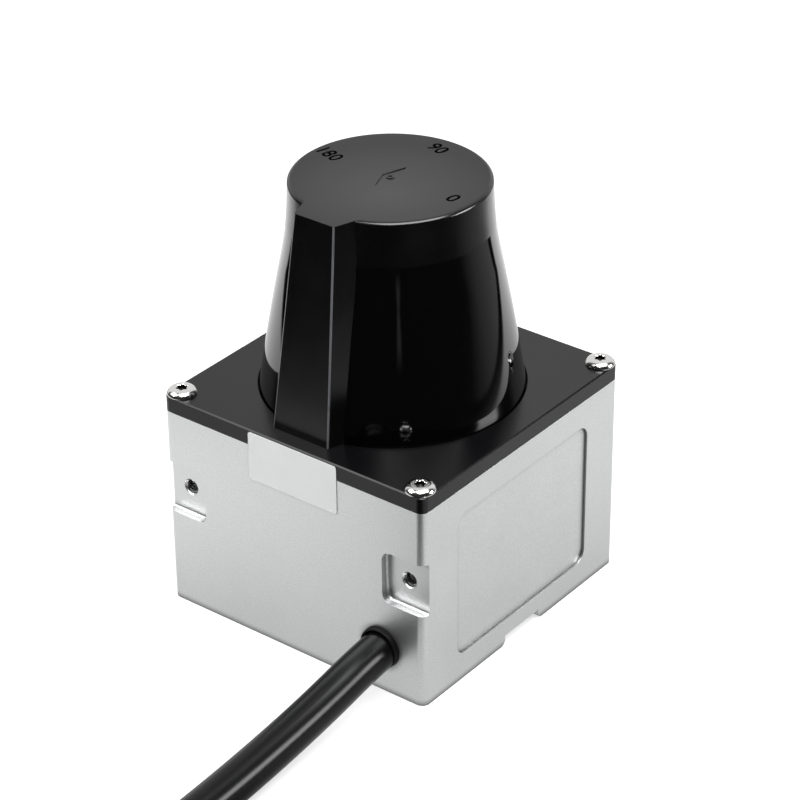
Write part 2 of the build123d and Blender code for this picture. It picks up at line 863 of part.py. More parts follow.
plug_x = coil_x + coil_radius - tail_shift
tail_end_y = coil_y + tail_level_run + tail_drop_run + tail_end_run
tail_route = [
    (coil_x + coil_radius, coil_y, cable_floor_z + coil_turn_step),
    (coil_x + coil_radius, coil_y + tail_level_run, cable_floor_z + coil_turn_step),
    (plug_x, tail_end_y - tail_end_run, plug_z),
    (plug_x, tail_end_y, plug_z),
]
with BuildPart() as cable_tail:
    with BuildLine() as tail_line:
        FilletPolyline(*tail_route, radius=bend_radii(tail_route))
    with BuildSketch(Plane(origin=tail_line.line @ 0, z_dir=tail_line.line % 0)):
        Circle(cable_radius)
    sweep()
cable_tail.part.label = "cable_tail"
export_step(cable_tail.part, "parts/cable_tail.step")
report_tube("cable_tail", tail_route, cable_tail)

# Plug: its profiles run along the plug's axis from the end that the cable enters
plug_entry = 12.0
plug_profile = Plane(origin=(plug_x, tail_end_y - plug_entry, plug_z), x_dir=(0, 1, 0), z_dir=(1, 0, 0))
plug_axis = Axis((plug_x, tail_end_y, plug_z), (0, 1, 0))
nut_start = plug_grip_length + assembly_gap
sleeve_start = nut_start + plug_nut_length
sleeve_end = sleeve_start + plug_sleeve_length
sleeve_bore_radius = plug_sleeve_radius - plug_sleeve_wall
insert_start = plug_grip_length - 6.0
insert_face = sleeve_end - plug_face_recess
with BuildPart() as plug_grip:
    with BuildSketch(plug_profile):
        Polygon(
            (0, cable_radius),
            (0, plug_tail_radius),
            (plug_entry, plug_grip_radius - 0.8),
            (plug_entry + 2, plug_grip_radius),
            (plug_grip_length, plug_grip_radius),
            (plug_grip_length, plug_neck_radius),
            (insert_start, plug_neck_radius),
            (insert_start, 0),
            (plug_entry, 0),
            (plug_entry, cable_radius),
            align=None,
        )
        with Locations(*[(plug_entry + 3.5 + 2 * i, plug_grip_radius) for i in range(plug_ridges)]):
            Rectangle(0.9, 0.9, mode=Mode.SUBTRACT)
    revolve(axis=plug_axis)
plug_grip.part.label = "plug_grip"
export_step(plug_grip.part, "parts/plug_grip.step")

with BuildPart() as plug_nut:
    with BuildSketch(plug_profile):
        Polygon(
            (nut_start, plug_neck_radius + running_fit),
            (nut_start, plug_nut_radius - 0.4),
            (nut_start + 0.4, plug_nut_radius),
            (sleeve_start - 0.4, plug_nut_radius),
            (sleeve_start, plug_nut_radius - 0.4),
            (sleeve_start, plug_sleeve_radius),
            (sleeve_end - 0.4, plug_sleeve_radius),
            (sleeve_end, plug_sleeve_radius - 0.4),
            (sleeve_end, sleeve_bore_radius),
            (sleeve_start, sleeve_bore_radius),
            (sleeve_start, plug_neck_radius + running_fit),
            align=None,
        )
    revolve(axis=plug_axis)
    with BuildSketch(Plane(origin=(plug_x, tail_end_y - plug_entry + nut_start, plug_z), z_dir=(0, 1, 0))):
        with PolarLocations(plug_nut_radius, 20):
            Circle(0.35)
    extrude(amount=plug_nut_length, mode=Mode.SUBTRACT)
plug_nut.part.label = "plug_nut"
export_step(plug_nut.part, "parts/plug_nut.step")

with BuildPart() as plug_insert:
    collar_start = sleeve_start + 2 * assembly_gap
    collar_end = collar_start + plug_collar_length
    with BuildSketch(plug_profile):
        Polygon(
            (insert_start, 0),
            (insert_start, plug_neck_radius),
            (collar_start, plug_neck_radius),
            (collar_start, sleeve_bore_radius - free_gap),
            (collar_end, sleeve_bore_radius - free_gap),
            (collar_end, plug_neck_radius),
            (insert_face, plug_neck_radius),
            (insert_face, 0),
            align=None,
        )
    revolve(axis=plug_axis)
plug_insert.part.label = "plug_insert"
export_step(plug_insert.part, "parts/plug_insert.step")

with BuildPart() as plug_pins:
    with BuildSketch(Plane(origin=(plug_x, tail_end_y - plug_entry + insert_face, plug_z), z_dir=(0, 1, 0))):
        Circle(plug_pin_radius)
        with PolarLocations(plug_pin_circle, plug_pins_around):
            Circle(plug_pin_radius)
    extrude(amount=plug_face_recess - 2 * assembly_gap)
plug_pins.part.label = "plug_pins"
export_step(plug_pins.part, "parts/plug_pins.step")

# Main board, what stands on it, and the posts that carry the receiver board
with BuildPart() as main_board:
    with BuildSketch(Plane.XY.offset(board_z)):
        RectangleRounded(board_length, board_width, 2)
        with GridLocations(2 * board_fixing_x, 2 * board_fixing_y, 2, 2):
            Circle(board_screw_radius + assembly_gap, mode=Mode.SUBTRACT)
    extrude(amount=board_thickness)
main_board.part.label = "main_board"
export_step(main_board.part, "parts/main_board.step")

header_length = leads * lead_pitch + 2 * socket_end_wall
flex_socket_length = 2 * (flex_half_width + socket_end_wall)
socket_y = header_depth / 2 - header_rear
with BuildPart() as board_parts:
    block(processor_side, processor_side, processor_height, processor_x, processor_y, board_top)
    block(memory_length, memory_width, memory_height, memory_x, memory_y, board_top)
    block(driver_side, driver_side, driver_height, memory_x, driver_y, board_top)
    block(link_length, link_width, standoff_height, link_x, board_width / 2 - link_inset, board_top)
    block(header_length, header_depth, header_height, cable_x, socket_y, board_top)
    block(flex_socket_length, header_depth, flex_socket_height, 0, socket_y, board_top)
    with BuildSketch(Plane.XY.offset(board_top)):
        with Locations((capacitor_inset - board_length / 2, 0)):
            with GridLocations(1, capacitor_pitch, 1, 2):
                Circle(capacitor_radius)
    extrude(amount=capacitor_height)
board_parts.part.label = "board_parts"
export_step(board_parts.part, "parts/board_parts.step")

with BuildPart() as board_standoffs:
    with BuildSketch(Plane.XY.offset(board_top)):
        with GridLocations(2 * board_fixing_x, 2 * board_fixing_y, 2, 2):
            RegularPolygon(radius=standoff_across_flats / 2, side_count=6, major_radius=False)
    extrude(amount=standoff_height)
    with BuildSketch(Plane.XY.offset(board_top)):
        with GridLocations(2 * board_fixing_x, 2 * board_fixing_y, 2, 2):
            Circle(board_screw_radius)
    extrude(amount=-(board_thickness + board_boss_height - free_gap))
    with BuildSketch(Plane.XY.offset(receiver_board_z)):
        with GridLocations(2 * board_fixing_x, 2 * board_fixing_y, 2, 2):
            Circle(board_screw_radius + running_fit)
    extrude(amount=-(standoff_height - 2), mode=Mode.SUBTRACT)
board_standoffs.part.label = "board_standoffs"
export_step(board_standoffs.part, "parts/board_standoffs.step")

with BuildPart() as receiver_board:
    with BuildSketch(Plane.XY.offset(receiver_board_z)):
        RectangleRounded(board_length, board_width, 2)
        with GridLocations(2 * board_fixing_x, 2 * board_fixing_y, 2, 2):
            Circle(board_screw_radius + assembly_gap, mode=Mode.SUBTRACT)
    extrude(amount=board_thickness)
receiver_board.part.label = "receiver_board"
export_step(receiver_board.part, "parts/receiver_board.step")

board_screw = socket_screw(
    board_screw_head_radius,
    board_screw_head_height,
    board_screw_radius,
    board_thickness + standoff_height - 3,
)
with BuildPart() as board_screws:
    with Locations((0, 0, receiver_board_top)):
        with GridLocations(2 * board_fixing_x, 2 * board_fixing_y, 2, 2):
            add(board_screw)
board_screws.part.label = "board_screws"
export_step(board_screws.part, "parts/board_screws.step")

# Receiver: detector, barrel and lens under the hollow shaft
with BuildPart() as detector:
    block(detector_side, detector_side, detector_height, 0, 0, receiver_board_top)
detector.part.label = "detector"
export_step(detector.part, "parts/detector.step")

receiver_lens_z = receiver_board_top + receiver_lens_seat
with BuildPart() as receiver_barrel:
    ring(receiver_barrel_radius, receiver_bore_radius, receiver_board_top, receiver_barrel_height)
    bore(receiver_lens_radius + running_fit, receiver_lens_z, receiver_barrel_height)
receiver_barrel.part.label = "receiver_barrel"
export_step(receiver_barrel.part, "parts/receiver_barrel.step")

receiver_glass = lens(receiver_lens_radius, receiver_lens_thickness)
with BuildPart() as receiver_lens:
    with Locations((0, 0, receiver_lens_z)):
        add(receiver_glass)
receiver_lens.part.label = "receiver_lens"
export_step(receiver_lens.part, "parts/receiver_lens.step")

# Motor: bracket with its bearing tube, bearings, stator and windings
with BuildPart() as motor_bracket:
    with BuildSketch(Plane.XY.offset(bracket_z)):
        Circle(bracket_radius)
        with GridLocations(2 * hanger_offset, 2 * hanger_offset, 2, 2):
            Circle(bracket_ear_radius)
            Circle(board_screw_radius + assembly_gap, mode=Mode.SUBTRACT)
    extrude(amount=bracket_thickness)
    with BuildSketch(Plane.XY.offset(bracket_top)):
        Circle(stator_seat_radius)
    extrude(amount=stator_seat_height)
    with BuildSketch(Plane.XY.offset(bracket_top)):
        Circle(bearing_tube_radius)
    extrude(amount=bearing_tube_height)
    bore(bracket_opening_radius, bracket_z, bearing_tube_height)
    bore(bearing_outer_radius, bearing_z, bearing_tube_height)
motor_bracket.part.label = "motor_bracket"
export_step(motor_bracket.part, "parts/motor_bracket.step")

bracket_screw = socket_screw(
    board_screw_head_radius,
    board_screw_head_height,
    board_screw_radius,
    bracket_thickness + hanger_length / 2 - free_gap,
)
with BuildPart() as bracket_screws:
    with Locations(Location((0, 0, bracket_z), (180, 0, 0))):
        with GridLocations(2 * hanger_offset, 2 * hanger_offset, 2, 2):
            add(bracket_screw)
bracket_screws.part.label = "bracket_screws"
export_step(bracket_screws.part, "parts/bracket_screws.step")

with BuildPart() as lower_bearing:
    ring(bearing_outer_radius - running_fit, bearing_inner_radius, bearing_z, bearing_width)
lower_bearing.part.label = "lower_bearing"
export_step(lower_bearing.part, "parts/lower_bearing.step")

with BuildPart() as upper_bearing:
    ring(bearing_outer_radius - running_fit, bearing_inner_radius, upper_bearing_z, bearing_width)
upper_bearing.part.label = "upper_bearing"
export_step(upper_bearing.part, "parts/upper_bearing.step")

with BuildPart() as bearing_spacer:
    ring(
        bearing_outer_radius - running_fit,
        bracket_opening_radius,
        bearing_z + bearing_width,
        bearing_spacing,
    )
bearing_spacer.part.label = "bearing_spacer"
export_step(bearing_spacer.part, "parts/bearing_spacer.step")

with BuildPart() as stator_core:
    tooth_start = stator_yoke_radius - 0.5
    tooth_end = stator_radius - shoe_depth / 2
    shoe_gap = 2 * stator_radius * sin(pi / stator_teeth - radians(shoe_angle / 2))
    with BuildSketch(Plane.XY.offset(stator_z)):
        Circle(stator_radius)
        Circle(stator_radius - shoe_depth, mode=Mode.SUBTRACT)
        with PolarLocations(stator_radius, stator_teeth, start_angle=180 / stator_teeth):
            Rectangle(3 * shoe_depth, shoe_gap, mode=Mode.SUBTRACT)
        with PolarLocations((tooth_start + tooth_end) / 2, stator_teeth):
            Rectangle(tooth_end - tooth_start, tooth_width)
    extrude(amount=stator_height)
    ring(stator_yoke_radius, bearing_tube_radius + running_fit, stator_z, stator_height)
stator_core.part.label = "stator_core"
export_step(stator_core.part, "parts/stator_core.step")

with BuildPart() as stator_windings:
    winding_middle = (stator_yoke_radius + stator_radius - shoe_depth) / 2
    with BuildSketch(Plane.XY.offset(stator_z - winding_build)):
        with PolarLocations(winding_middle, stator_teeth):
            Rectangle(winding_length, tooth_width + 2 * winding_build)
    extrude(amount=stator_height + 2 * winding_build)
    with BuildSketch(Plane.XY.offset(stator_z - running_fit)):
        with PolarLocations(winding_middle, stator_teeth):
            Rectangle(2 * winding_length, tooth_width + 2 * running_fit)
    extrude(amount=stator_height + 2 * running_fit, mode=Mode.SUBTRACT)
stator_windings.part.label = "stator_windings"
export_step(stator_windings.part, "parts/stator_windings.step")

# Reader for the slotted ring: a fork that the ring runs through
fork_height = cup_bottom - free_gap - bracket_top
with BuildPart() as encoder_sensor:
    fork_inner = magnet_inner_radius + free_gap
    fork_outer = cup_radius + 4 * free_gap
    block(fork_outer - fork_inner, 3, free_gap, (fork_outer + fork_inner) / 2, 0, bracket_top)
    block(3 * free_gap, 3, fork_height, fork_inner + 1.5 * free_gap, 0, bracket_top)
    block(2.5 * free_gap, 3, fork_height, fork_outer - 1.25 * free_gap, 0, bracket_top)
encoder_sensor.part.label = "encoder_sensor"
export_step(encoder_sensor.part, "parts/encoder_sensor.step")

# Rotor: hollow shaft and cup in one piece, with magnet, slotted ring and retaining clip
clip_z = bearing_z - assembly_gap - clip_thickness
carrier_screw_angles = (0, 60, 120, 180)
carrier_screw_spots = [
    (carrier_screw_circle * cos(radians(angle)), carrier_screw_circle * sin(radians(angle)))
    for angle in carrier_screw_angles
]
with BuildPart() as rotor_hub:
    ring(shaft_radius, shaft_bore_radius, shaft_bottom, shaft_length - flange_thickness)
    ring(shaft_step_radius, shaft_bore_radius, flange_z - shaft_step_height, shaft_step_height)
    ring(cup_radius, shaft_bore_radius, flange_z, flange_thickness)
    ring(cup_radius, cup_inner_radius, cup_bottom, cup_drop)
    with BuildSketch(Plane.XY.offset(clip_z - running_fit)):
        Circle(shaft_radius)
        Circle(shaft_radius - clip_groove_depth, mode=Mode.SUBTRACT)
    extrude(amount=clip_thickness + 2 * running_fit, mode=Mode.SUBTRACT)
    with BuildSketch(Plane.XY.offset(flange_z)):
        with Locations(*carrier_screw_spots):
            Circle(clamp_screw_radius + running_fit)
    extrude(amount=flange_thickness, mode=Mode.SUBTRACT)
rotor_hub.part.label = "rotor_hub"
export_step(rotor_hub.part, "parts/rotor_hub.step")

with BuildPart() as rotor_magnet:
    ring(magnet_inner_radius + magnet_thickness, magnet_inner_radius, cup_bottom, magnet_height)
rotor_magnet.part.label = "rotor_magnet"
export_step(rotor_magnet.part, "parts/rotor_magnet.step")

with BuildPart() as encoder_ring:
    ring(cup_radius, cup_inner_radius, cup_bottom - encoder_height, encoder_height)
    with BuildSketch(Plane.XY.offset(cup_bottom - encoder_height)):
        with PolarLocations((cup_radius + cup_inner_radius) / 2, encoder_slots):
            Rectangle(3 * cup_wall, encoder_slot_width)
    extrude(amount=encoder_slot_depth, mode=Mode.SUBTRACT)
encoder_ring.part.label = "encoder_ring"
export_step(encoder_ring.part, "parts/encoder_ring.step")

with BuildPart() as hub_clip:
    ring(clip_radius, shaft_radius - clip_groove_depth + running_fit, clip_z, clip_thickness)
hub_clip.part.label = "hub_clip"
export_step(hub_clip.part, "parts/hub_clip.step")

# Mirror carrier: a ring foot, a block cut at 45 degrees for the receiving mirror, a divider, and
# a small block cut the other way for the sending mirror
foot_top = flange_top + carrier_foot
with BuildPart() as mirror_carrier:
    ring(carrier_foot_radius, shaft_bore_radius + assembly_gap, flange_top, carrier_foot)
    with BuildSketch(Plane.XY.offset(foot_top)):
        Circle(carrier_radius)
    extrude(amount=divider_z - foot_top)
    with BuildSketch(Plane.YZ):
        Polygon(
            (foot_top - receive_mirror_z, foot_top),
            (2 * carrier_radius, foot_top),
            (2 * carrier_radius, divider_z),
            (divider_z - receive_mirror_z, divider_z),
            align=None,
        )
    extrude(amount=2 * carrier_radius, both=True, mode=Mode.SUBTRACT)
    with BuildSketch(Plane.XY.offset(divider_z)):
        Circle(divider_radius)
    extrude(amount=divider_thickness)
    emit_base = divider_z + divider_thickness
    with BuildSketch(Plane.XY.offset(emit_base)):
        Circle(emit_block_radius)
    extrude(amount=emit_block_height)
    with BuildSketch(Plane.YZ):
        Polygon(
            (emit_mirror_z - emit_base, emit_base),
            (2 * emit_block_radius, emit_base),
            (2 * emit_block_radius, emit_base + emit_block_height),
            (emit_mirror_z - emit_base - emit_block_height, emit_base + emit_block_height),
            align=None,
        )
    extrude(amount=2 * emit_block_radius, both=True, mode=Mode.SUBTRACT)
    with BuildSketch(Plane.XY.offset(flange_top)):
        with Locations(*carrier_screw_spots):
            Circle(clamp_screw_radius + running_fit)
    extrude(amount=carrier_foot, mode=Mode.SUBTRACT)
mirror_carrier.part.label = "mirror_carrier"
export_step(mirror_carrier.part, "parts/mirror_carrier.step")

carrier_screw = socket_screw(
    clamp_screw_head_radius,
    clamp_sink,
    clamp_screw_radius,
    carrier_foot + flange_thickness - free_gap,
)
with BuildPart() as carrier_screws:
    with Locations(*[(x, y, foot_top) for x, y in carrier_screw_spots]):
        add(carrier_screw)
carrier_screws.part.label = "carrier_screws"
export_step(carrier_screws.part, "parts/carrier_screws.step")

with BuildPart() as receive_mirror:
    with BuildSketch(Plane(origin=(0, 0, receive_mirror_z), x_dir=(1, 0, 0), z_dir=(0, 1, -1))):
        Ellipse(receive_mirror_half_width, receive_mirror_half_length)
    extrude(amount=receive_mirror_thickness)
receive_mirror.part.label = "receive_mirror"
export_step(receive_mirror.part, "parts/receive_mirror.step")

with BuildPart() as emit_mirror:
    with BuildSketch(Plane(origin=(0, 0, emit_mirror_z), x_dir=(1, 0, 0), z_dir=(0, 1, 1))):
        Ellipse(emit_mirror_half_width, emit_mirror_half_length)
    extrude(amount=emit_mirror_thickness)
emit_mirror.part.label = "emit_mirror"
export_step(emit_mirror.part, "parts/emit_mirror.step")

# Laser in the cap: board, barrel, diode and lens
barrel_z = spigot_top - laser_barrel_length
with BuildPart() as laser_board:
    with BuildSketch(Plane.XY.offset(spigot_top)):
        Circle(laser_board_radius)
    extrude(amount=laser_board_thickness)
laser_board.part.label = "laser_board"
export_step(laser_board.part, "parts/laser_board.step")

lens_seat_z = barrel_z + laser_lens_thickness + free_gap
with BuildPart() as laser_barrel:
    ring(laser_barrel_radius, laser_bore_radius, barrel_z, laser_barrel_length)
    bore(laser_lens_radius + running_fit, barrel_z, lens_seat_z - barrel_z)
    bore(laser_diode_radius + running_fit, spigot_top - laser_diode_length, laser_diode_length)
laser_barrel.part.label = "laser_barrel"
export_step(laser_barrel.part, "parts/laser_barrel.step")

laser_glass = lens(laser_lens_radius, laser_lens_thickness)
with BuildPart() as laser_lens:
    with Locations(Location((0, 0, lens_seat_z), (180, 0, 0))):
        add(laser_glass)
laser_lens.part.label = "laser_lens"
export_step(laser_lens.part, "parts/laser_lens.step")

with BuildPart() as laser_diode:
    with BuildSketch(Plane.XY.offset(spigot_top)):
        Circle(laser_diode_radius)
    extrude(amount=-laser_diode_length)
laser_diode.part.label = "laser_diode"
export_step(laser_diode.part, "parts/laser_diode.step")

# Flat lead: over the laser board, down the rib, through the lid and forward to its socket
flex_lift = laser_board_top + flex_thickness / 2
flex_landing = board_top + flex_socket_height / 2
with BuildPart() as flex_lead:
    with BuildSketch(Plane.YZ):
        with BuildLine():
            FilletPolyline(
                (-cap_pillar_circle, flex_lift),
                (-flex_top_y, flex_lift),
                (-flex_drop_y, lid_top),
                (-flex_drop_y, flex_landing),
                (-header_rear, flex_landing),
                radius=flex_bend,
            )
        trace(line_width=flex_thickness)
    extrude(amount=flex_half_width, both=True)
flex_lead.part.label = "flex_lead"
export_step(flex_lead.part, "parts/flex_lead.step")
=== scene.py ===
import json
from math import atan2, cos, hypot, pi, radians, sin

import bmesh
import bpy
from bpy.props import FloatProperty, FloatVectorProperty, IntProperty, PointerProperty
from mathutils import Matrix, Vector


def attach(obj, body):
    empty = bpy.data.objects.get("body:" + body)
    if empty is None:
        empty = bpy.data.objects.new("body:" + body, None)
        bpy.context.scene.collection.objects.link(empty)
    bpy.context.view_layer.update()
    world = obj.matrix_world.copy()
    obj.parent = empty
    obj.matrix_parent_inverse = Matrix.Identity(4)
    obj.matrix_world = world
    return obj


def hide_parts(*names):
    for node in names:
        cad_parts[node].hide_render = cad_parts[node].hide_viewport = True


bl_info = {
    "name": "Laser scanner looks",
    "version": (1, 0, 0),
    "blender": (4, 5, 0),
    "location": "View3D > Sidebar > Scanner",
    "description": "Dresses a packed laser scanner: blasted housing, dark lid, gloss hood, cable and studio",
    "category": "Object",
}

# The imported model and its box, before anything is added
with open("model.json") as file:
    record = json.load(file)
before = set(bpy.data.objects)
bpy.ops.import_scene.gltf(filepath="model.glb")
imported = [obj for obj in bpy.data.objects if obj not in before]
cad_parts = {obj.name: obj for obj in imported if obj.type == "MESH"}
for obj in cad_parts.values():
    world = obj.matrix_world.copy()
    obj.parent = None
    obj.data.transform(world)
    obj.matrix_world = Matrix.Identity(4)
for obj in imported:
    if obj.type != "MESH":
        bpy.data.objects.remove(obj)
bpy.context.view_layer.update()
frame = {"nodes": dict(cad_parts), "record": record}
nodes = frame["nodes"]

MM = 0.001

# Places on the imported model
LID_TOP = 44.2 * MM
SEAM = 77.0 * MM
CAP_TOP = 85.5 * MM
SCREW_XY = 27.45 * MM
HOLE_X = 25.6 * MM
HOLE_Z = 25.0 * MM
HOLE_RADIUS = 1.5 * MM
PAD_FLOOR = -28.3 * MM


# sizes and colours


class ScannerSizes(bpy.types.PropertyGroup):
    """Sizes of the dressed pieces that a user would change"""

    edge_round: FloatProperty(
        name="Edge round",
        description="Width of the small round on the housing's machined edges",
        default=0.12 * MM,
        unit="LENGTH",
    )
    lid_edge_round: FloatProperty(
        name="Lid edge round",
        description="Width of the small round on the lid's edges",
        default=0.08 * MM,
        unit="LENGTH",
    )
    hood_base: FloatProperty(
        name="Hood base radius",
        description="Outer radius of the hood where it meets the lid",
        default=24.6 * MM,
        unit="LENGTH",
    )
    hood_belly: FloatProperty(
        name="Hood belly radius",
        description="Outer radius of the hood 12 mm above the lid",
        default=22.6 * MM,
        unit="LENGTH",
    )
    hood_neck: FloatProperty(
        name="Hood neck radius",
        description="Outer radius of the hood where its flare turns into the neck",
        default=19.89 * MM,
        unit="LENGTH",
    )
    hood_seam: FloatProperty(
        name="Hood seam radius",
        description="Outer radius of the hood where the cap begins",
        default=18.87 * MM,
        unit="LENGTH",
    )
    screw_head: FloatProperty(
        name="Screw head radius",
        description="Radius of the lid screws' domed heads",
        default=2.82 * MM,
        unit="LENGTH",
    )
    screw_rise: FloatProperty(
        name="Screw head height",
        description="Height of the lid screws' domed heads",
        default=1.25 * MM,
        unit="LENGTH",
    )
    digit_height: FloatProperty(
        name="Digit height",
        description="Height of the angle marks sunk into the cap",
        default=2.95 * MM,
        unit="LENGTH",
    )
    digit_depth: FloatProperty(
        name="Digit depth",
        description="How deep the angle marks are sunk",
        default=0.18 * MM,
        unit="LENGTH",
    )
    thread_pitch: FloatProperty(
        name="Thread pitch",
        description="Pitch of the thread in the rear mounting holes",
        default=0.5 * MM,
        unit="LENGTH",
    )
    cable_radius: FloatProperty(
        name="Cable radius",
        description="Radius of the cable's sheath",
        default=3.7 * MM,
        unit="LENGTH",
    )
    coil_points: IntProperty(
        name="Coil points",
        description="Points of the cable's spline in each turn of its coil",
        default=16,
        min=12,
    )


class ScannerFinishes(bpy.types.PropertyGroup):
    """Colours of the visible finishes"""

    housing: FloatVectorProperty(
        name="Housing",
        description="Bead blasted and clear anodised aluminium",
        default=(0.71, 0.72, 0.72),
        subtype="COLOR",
    )
    lid: FloatVectorProperty(
        name="Lid",
        description="Dark anodised aluminium",
        default=(0.0012, 0.0012, 0.0015),
        subtype="COLOR",
    )
    hood: FloatVectorProperty(
        name="Hood",
        description="Polished infrared window plastic",
        default=(0.0003, 0.0003, 0.0004),
        subtype="COLOR",
    )
    cap: FloatVectorProperty(
        name="Cap",
        description="Fine textured black moulding",
        default=(0.0004, 0.0004, 0.0005),
        subtype="COLOR",
    )
    sheath: FloatVectorProperty(
        name="Cable sheath",
        description="Black cable sheath",
        default=(0.0015, 0.0015, 0.0017),
        subtype="COLOR",
    )
    label: FloatVectorProperty(
        name="Label",
        description="Blank seal label",
        default=(0.39, 0.395, 0.395),
        subtype="COLOR",
    )


def sizes():
    return bpy.context.scene.scanner_sizes


def finishes():
    return bpy.context.scene.scanner_finishes


# nodes


def add_node(tree, kind, inputs=None, **settings):
    """A new node with its settings; each input gets a value, or a socket that is joined to it."""
    node = tree.nodes.new(kind)
    for key, value in settings.items():
        setattr(node, key, value)
    for key, value in (inputs or {}).items():
        if isinstance(value, bpy.types.NodeSocket):
            tree.links.new(value, node.inputs[key])
        else:
            node.inputs[key].default_value = value
    return node


def map_range(tree, value, before, after=(0.0, 1.0), curve="LINEAR"):
    """The value moved from one range to another."""
    inputs = {
        "Value": value,
        "From Min": before[0],
        "From Max": before[1],
        "To Min": after[0],
        "To Max": after[1],
    }
    return add_node(tree, "ShaderNodeMapRange", inputs, interpolation_type=curve).outputs["Result"]


def product(tree, first, second):
    """The product of two values, each a number or a socket."""
    return add_node(tree, "ShaderNodeMath", {0: first, 1: second}, operation="MULTIPLY").outputs[0]


def blend(tree, share, first, second):
    """Two values, each a number or a socket, mixed by the share of the second."""
    inputs = {"Factor": share, "A": first, "B": second}
    return add_node(tree, "ShaderNodeMix", inputs).outputs["Result"]


# materials


class Finish:
    """A node material under construction; most methods return an output socket."""

    def __init__(self, name, roughness, metallic=0.0, specular=0.5):
        self.material = bpy.data.materials.new(name)
        self.material.use_nodes = True
        self.tree = self.material.node_tree
        self.shader = self.tree.nodes["Principled BSDF"]
        self.shader.inputs["Roughness"].default_value = roughness
        self.shader.inputs["Metallic"].default_value = metallic
        self.shader.inputs["Specular IOR Level"].default_value = specular
        self.place = add_node(self.tree, "ShaderNodeTexCoord").outputs["Object"]

    def give(self, target, socket):
        """Join a socket to one of the shader's inputs."""
        self.tree.links.new(socket, self.shader.inputs[target])

    def noise(self, grain, detail=2.0, roughness=0.5, stretch=None):
        """Noise whose features are about as large as the grain, in metres."""
        place = self.place
        if stretch:
            inputs = {"Vector": place, "Scale": stretch}
            place = add_node(self.tree, "ShaderNodeMapping", inputs).outputs["Vector"]
        inputs = {"Vector": place, "Scale": 1.0 / grain, "Detail": detail, "Roughness": roughness}
        return add_node(self.tree, "ShaderNodeTexNoise", inputs).outputs["Fac"]

    def spread(self, value, low, high, low_in=0.3, high_in=0.7):
        """The value stretched over a new range; noise mostly lies between 0.3 and 0.7."""
        return map_range(self.tree, value, (low_in, high_in), (low, high))

    def shades(self, value, colour, dark, light):
        """The colour between a darker and a lighter shade of itself, by the value."""
        inputs = {"Factor": value}
        for key, factor in (("A", dark), ("B", light)):
            inputs[key] = (*(min(1.0, share * factor) for share in colour), 1.0)
        return add_node(self.tree, "ShaderNodeMix", inputs, data_type="RGBA").outputs["Result"]

    def colour(self, socket):
        self.give("Base Color", socket)

    def roughness(self, socket):
        self.give("Roughness", socket)

    def painted_sheen(self, heart, reach, near, far):
        """A painted highlight: a specular level that fades from near to far with the distance from a place.
        """
        inputs = {0: self.place, 1: heart}
        away = add_node(self.tree, "ShaderNodeVectorMath", inputs, operation="DISTANCE").outputs["Value"]
        self.give("Specular IOR Level", self.spread(away, near, far, 0.0, reach))

    def bump(self, height, depth):
        """Relief of the given depth in metres."""
        relief = add_node(self.tree, "ShaderNodeBump", {"Height": height, "Distance": depth, "Strength": 1.0})
        self.give("Normal", relief.outputs["Normal"])


def blasted_metal(name, colour, roughness):
    """Bead blasted metal: an even fine grain with faint clouds, and painted shade that darkens its inner
    corners and its edges near other pieces.
    """
    finish = Finish(name, roughness, 1.0)
    fine = finish.noise(0.28 * MM, 4.0, 0.65)
    cloud = finish.noise(9 * MM)
    cloud_share = 0.12
    both = blend(finish.tree, cloud_share, fine, cloud)
    open_metal = finish.shades(finish.spread(both, 0, 1), colour, 0.87, 1.09)
    # Painted shade: ambient occlusion darkens the base colour in corners, in crevices and next to other
    # pieces and the floor
    corner = add_node(finish.tree, "ShaderNodeAmbientOcclusion", {"Distance": 1.5 * MM}, samples=8)
    unshaded_share = finish.spread(corner.outputs["AO"], 0.12, 1.0, low_in=0.4, high_in=0.97)
    inputs = {"Factor": 1.0, "A": open_metal, "B": unshaded_share}
    painted_corner_shade = add_node(finish.tree, "ShaderNodeMix", inputs, data_type="RGBA", blend_type="MULTIPLY")
    finish.colour(painted_corner_shade.outputs["Result"])
    finish.roughness(finish.spread(cloud, roughness - 0.01, roughness + 0.02))
    finish.bump(fine, 0.009 * MM)
    return finish.material


def anodised_black(name, colour):
    """Black anodised metal with a fine satin grain, and a painted highlight: its specular level fades away
    from the lid's right side.
    """
    roughness = 0.24
    finish = Finish(name, roughness, 0.0, 0.35)
    finish.painted_sheen((30 * MM, 0.0, LID_TOP), 60 * MM, 0.37, 0.27)
    fine = finish.noise(0.12 * MM, 3.0, 0.6)
    cloud = finish.noise(14 * MM)
    finish.colour(finish.shades(finish.spread(fine, 0, 1), colour, 0.85, 1.2))
    finish.roughness(finish.spread(cloud, roughness - 0.03, roughness + 0.04))
    finish.bump(fine, 0.004 * MM)
    return finish.material


def gloss_window(name, colour):
    """Polished dark plastic with the faintest waviness of a moulding."""
    finish = Finish(name, 0.04)
    wave = finish.noise(22 * MM, 1.0, stretch=(1.0, 1.0, 0.35))
    smear = finish.noise(6 * MM, 3.0, 0.6)
    finish.colour(finish.shades(smear, colour, 0.9, 1.1))
    finish.roughness(finish.spread(smear, 0.035, 0.06))
    finish.bump(wave, 0.012 * MM)
    return finish.material


def textured_moulding(name, colour, roughness, grain=0.22 * MM, depth=0.008 * MM, specular=0.5, painted_sheen=None):
    """Spark eroded moulding: a fine leathery grain that scatters the light."""
    finish = Finish(name, roughness, 0.0, specular)
    if painted_sheen:
        finish.painted_sheen(*painted_sheen)
    fine = finish.noise(grain, 3.0, 0.6)
    cloud = finish.noise(10 * MM)
    finish.colour(finish.shades(finish.spread(fine, 0, 1), colour, 0.8, 1.25))
    finish.roughness(finish.spread(cloud, roughness - 0.03, roughness + 0.04))
    finish.bump(fine, depth)
    return finish.material


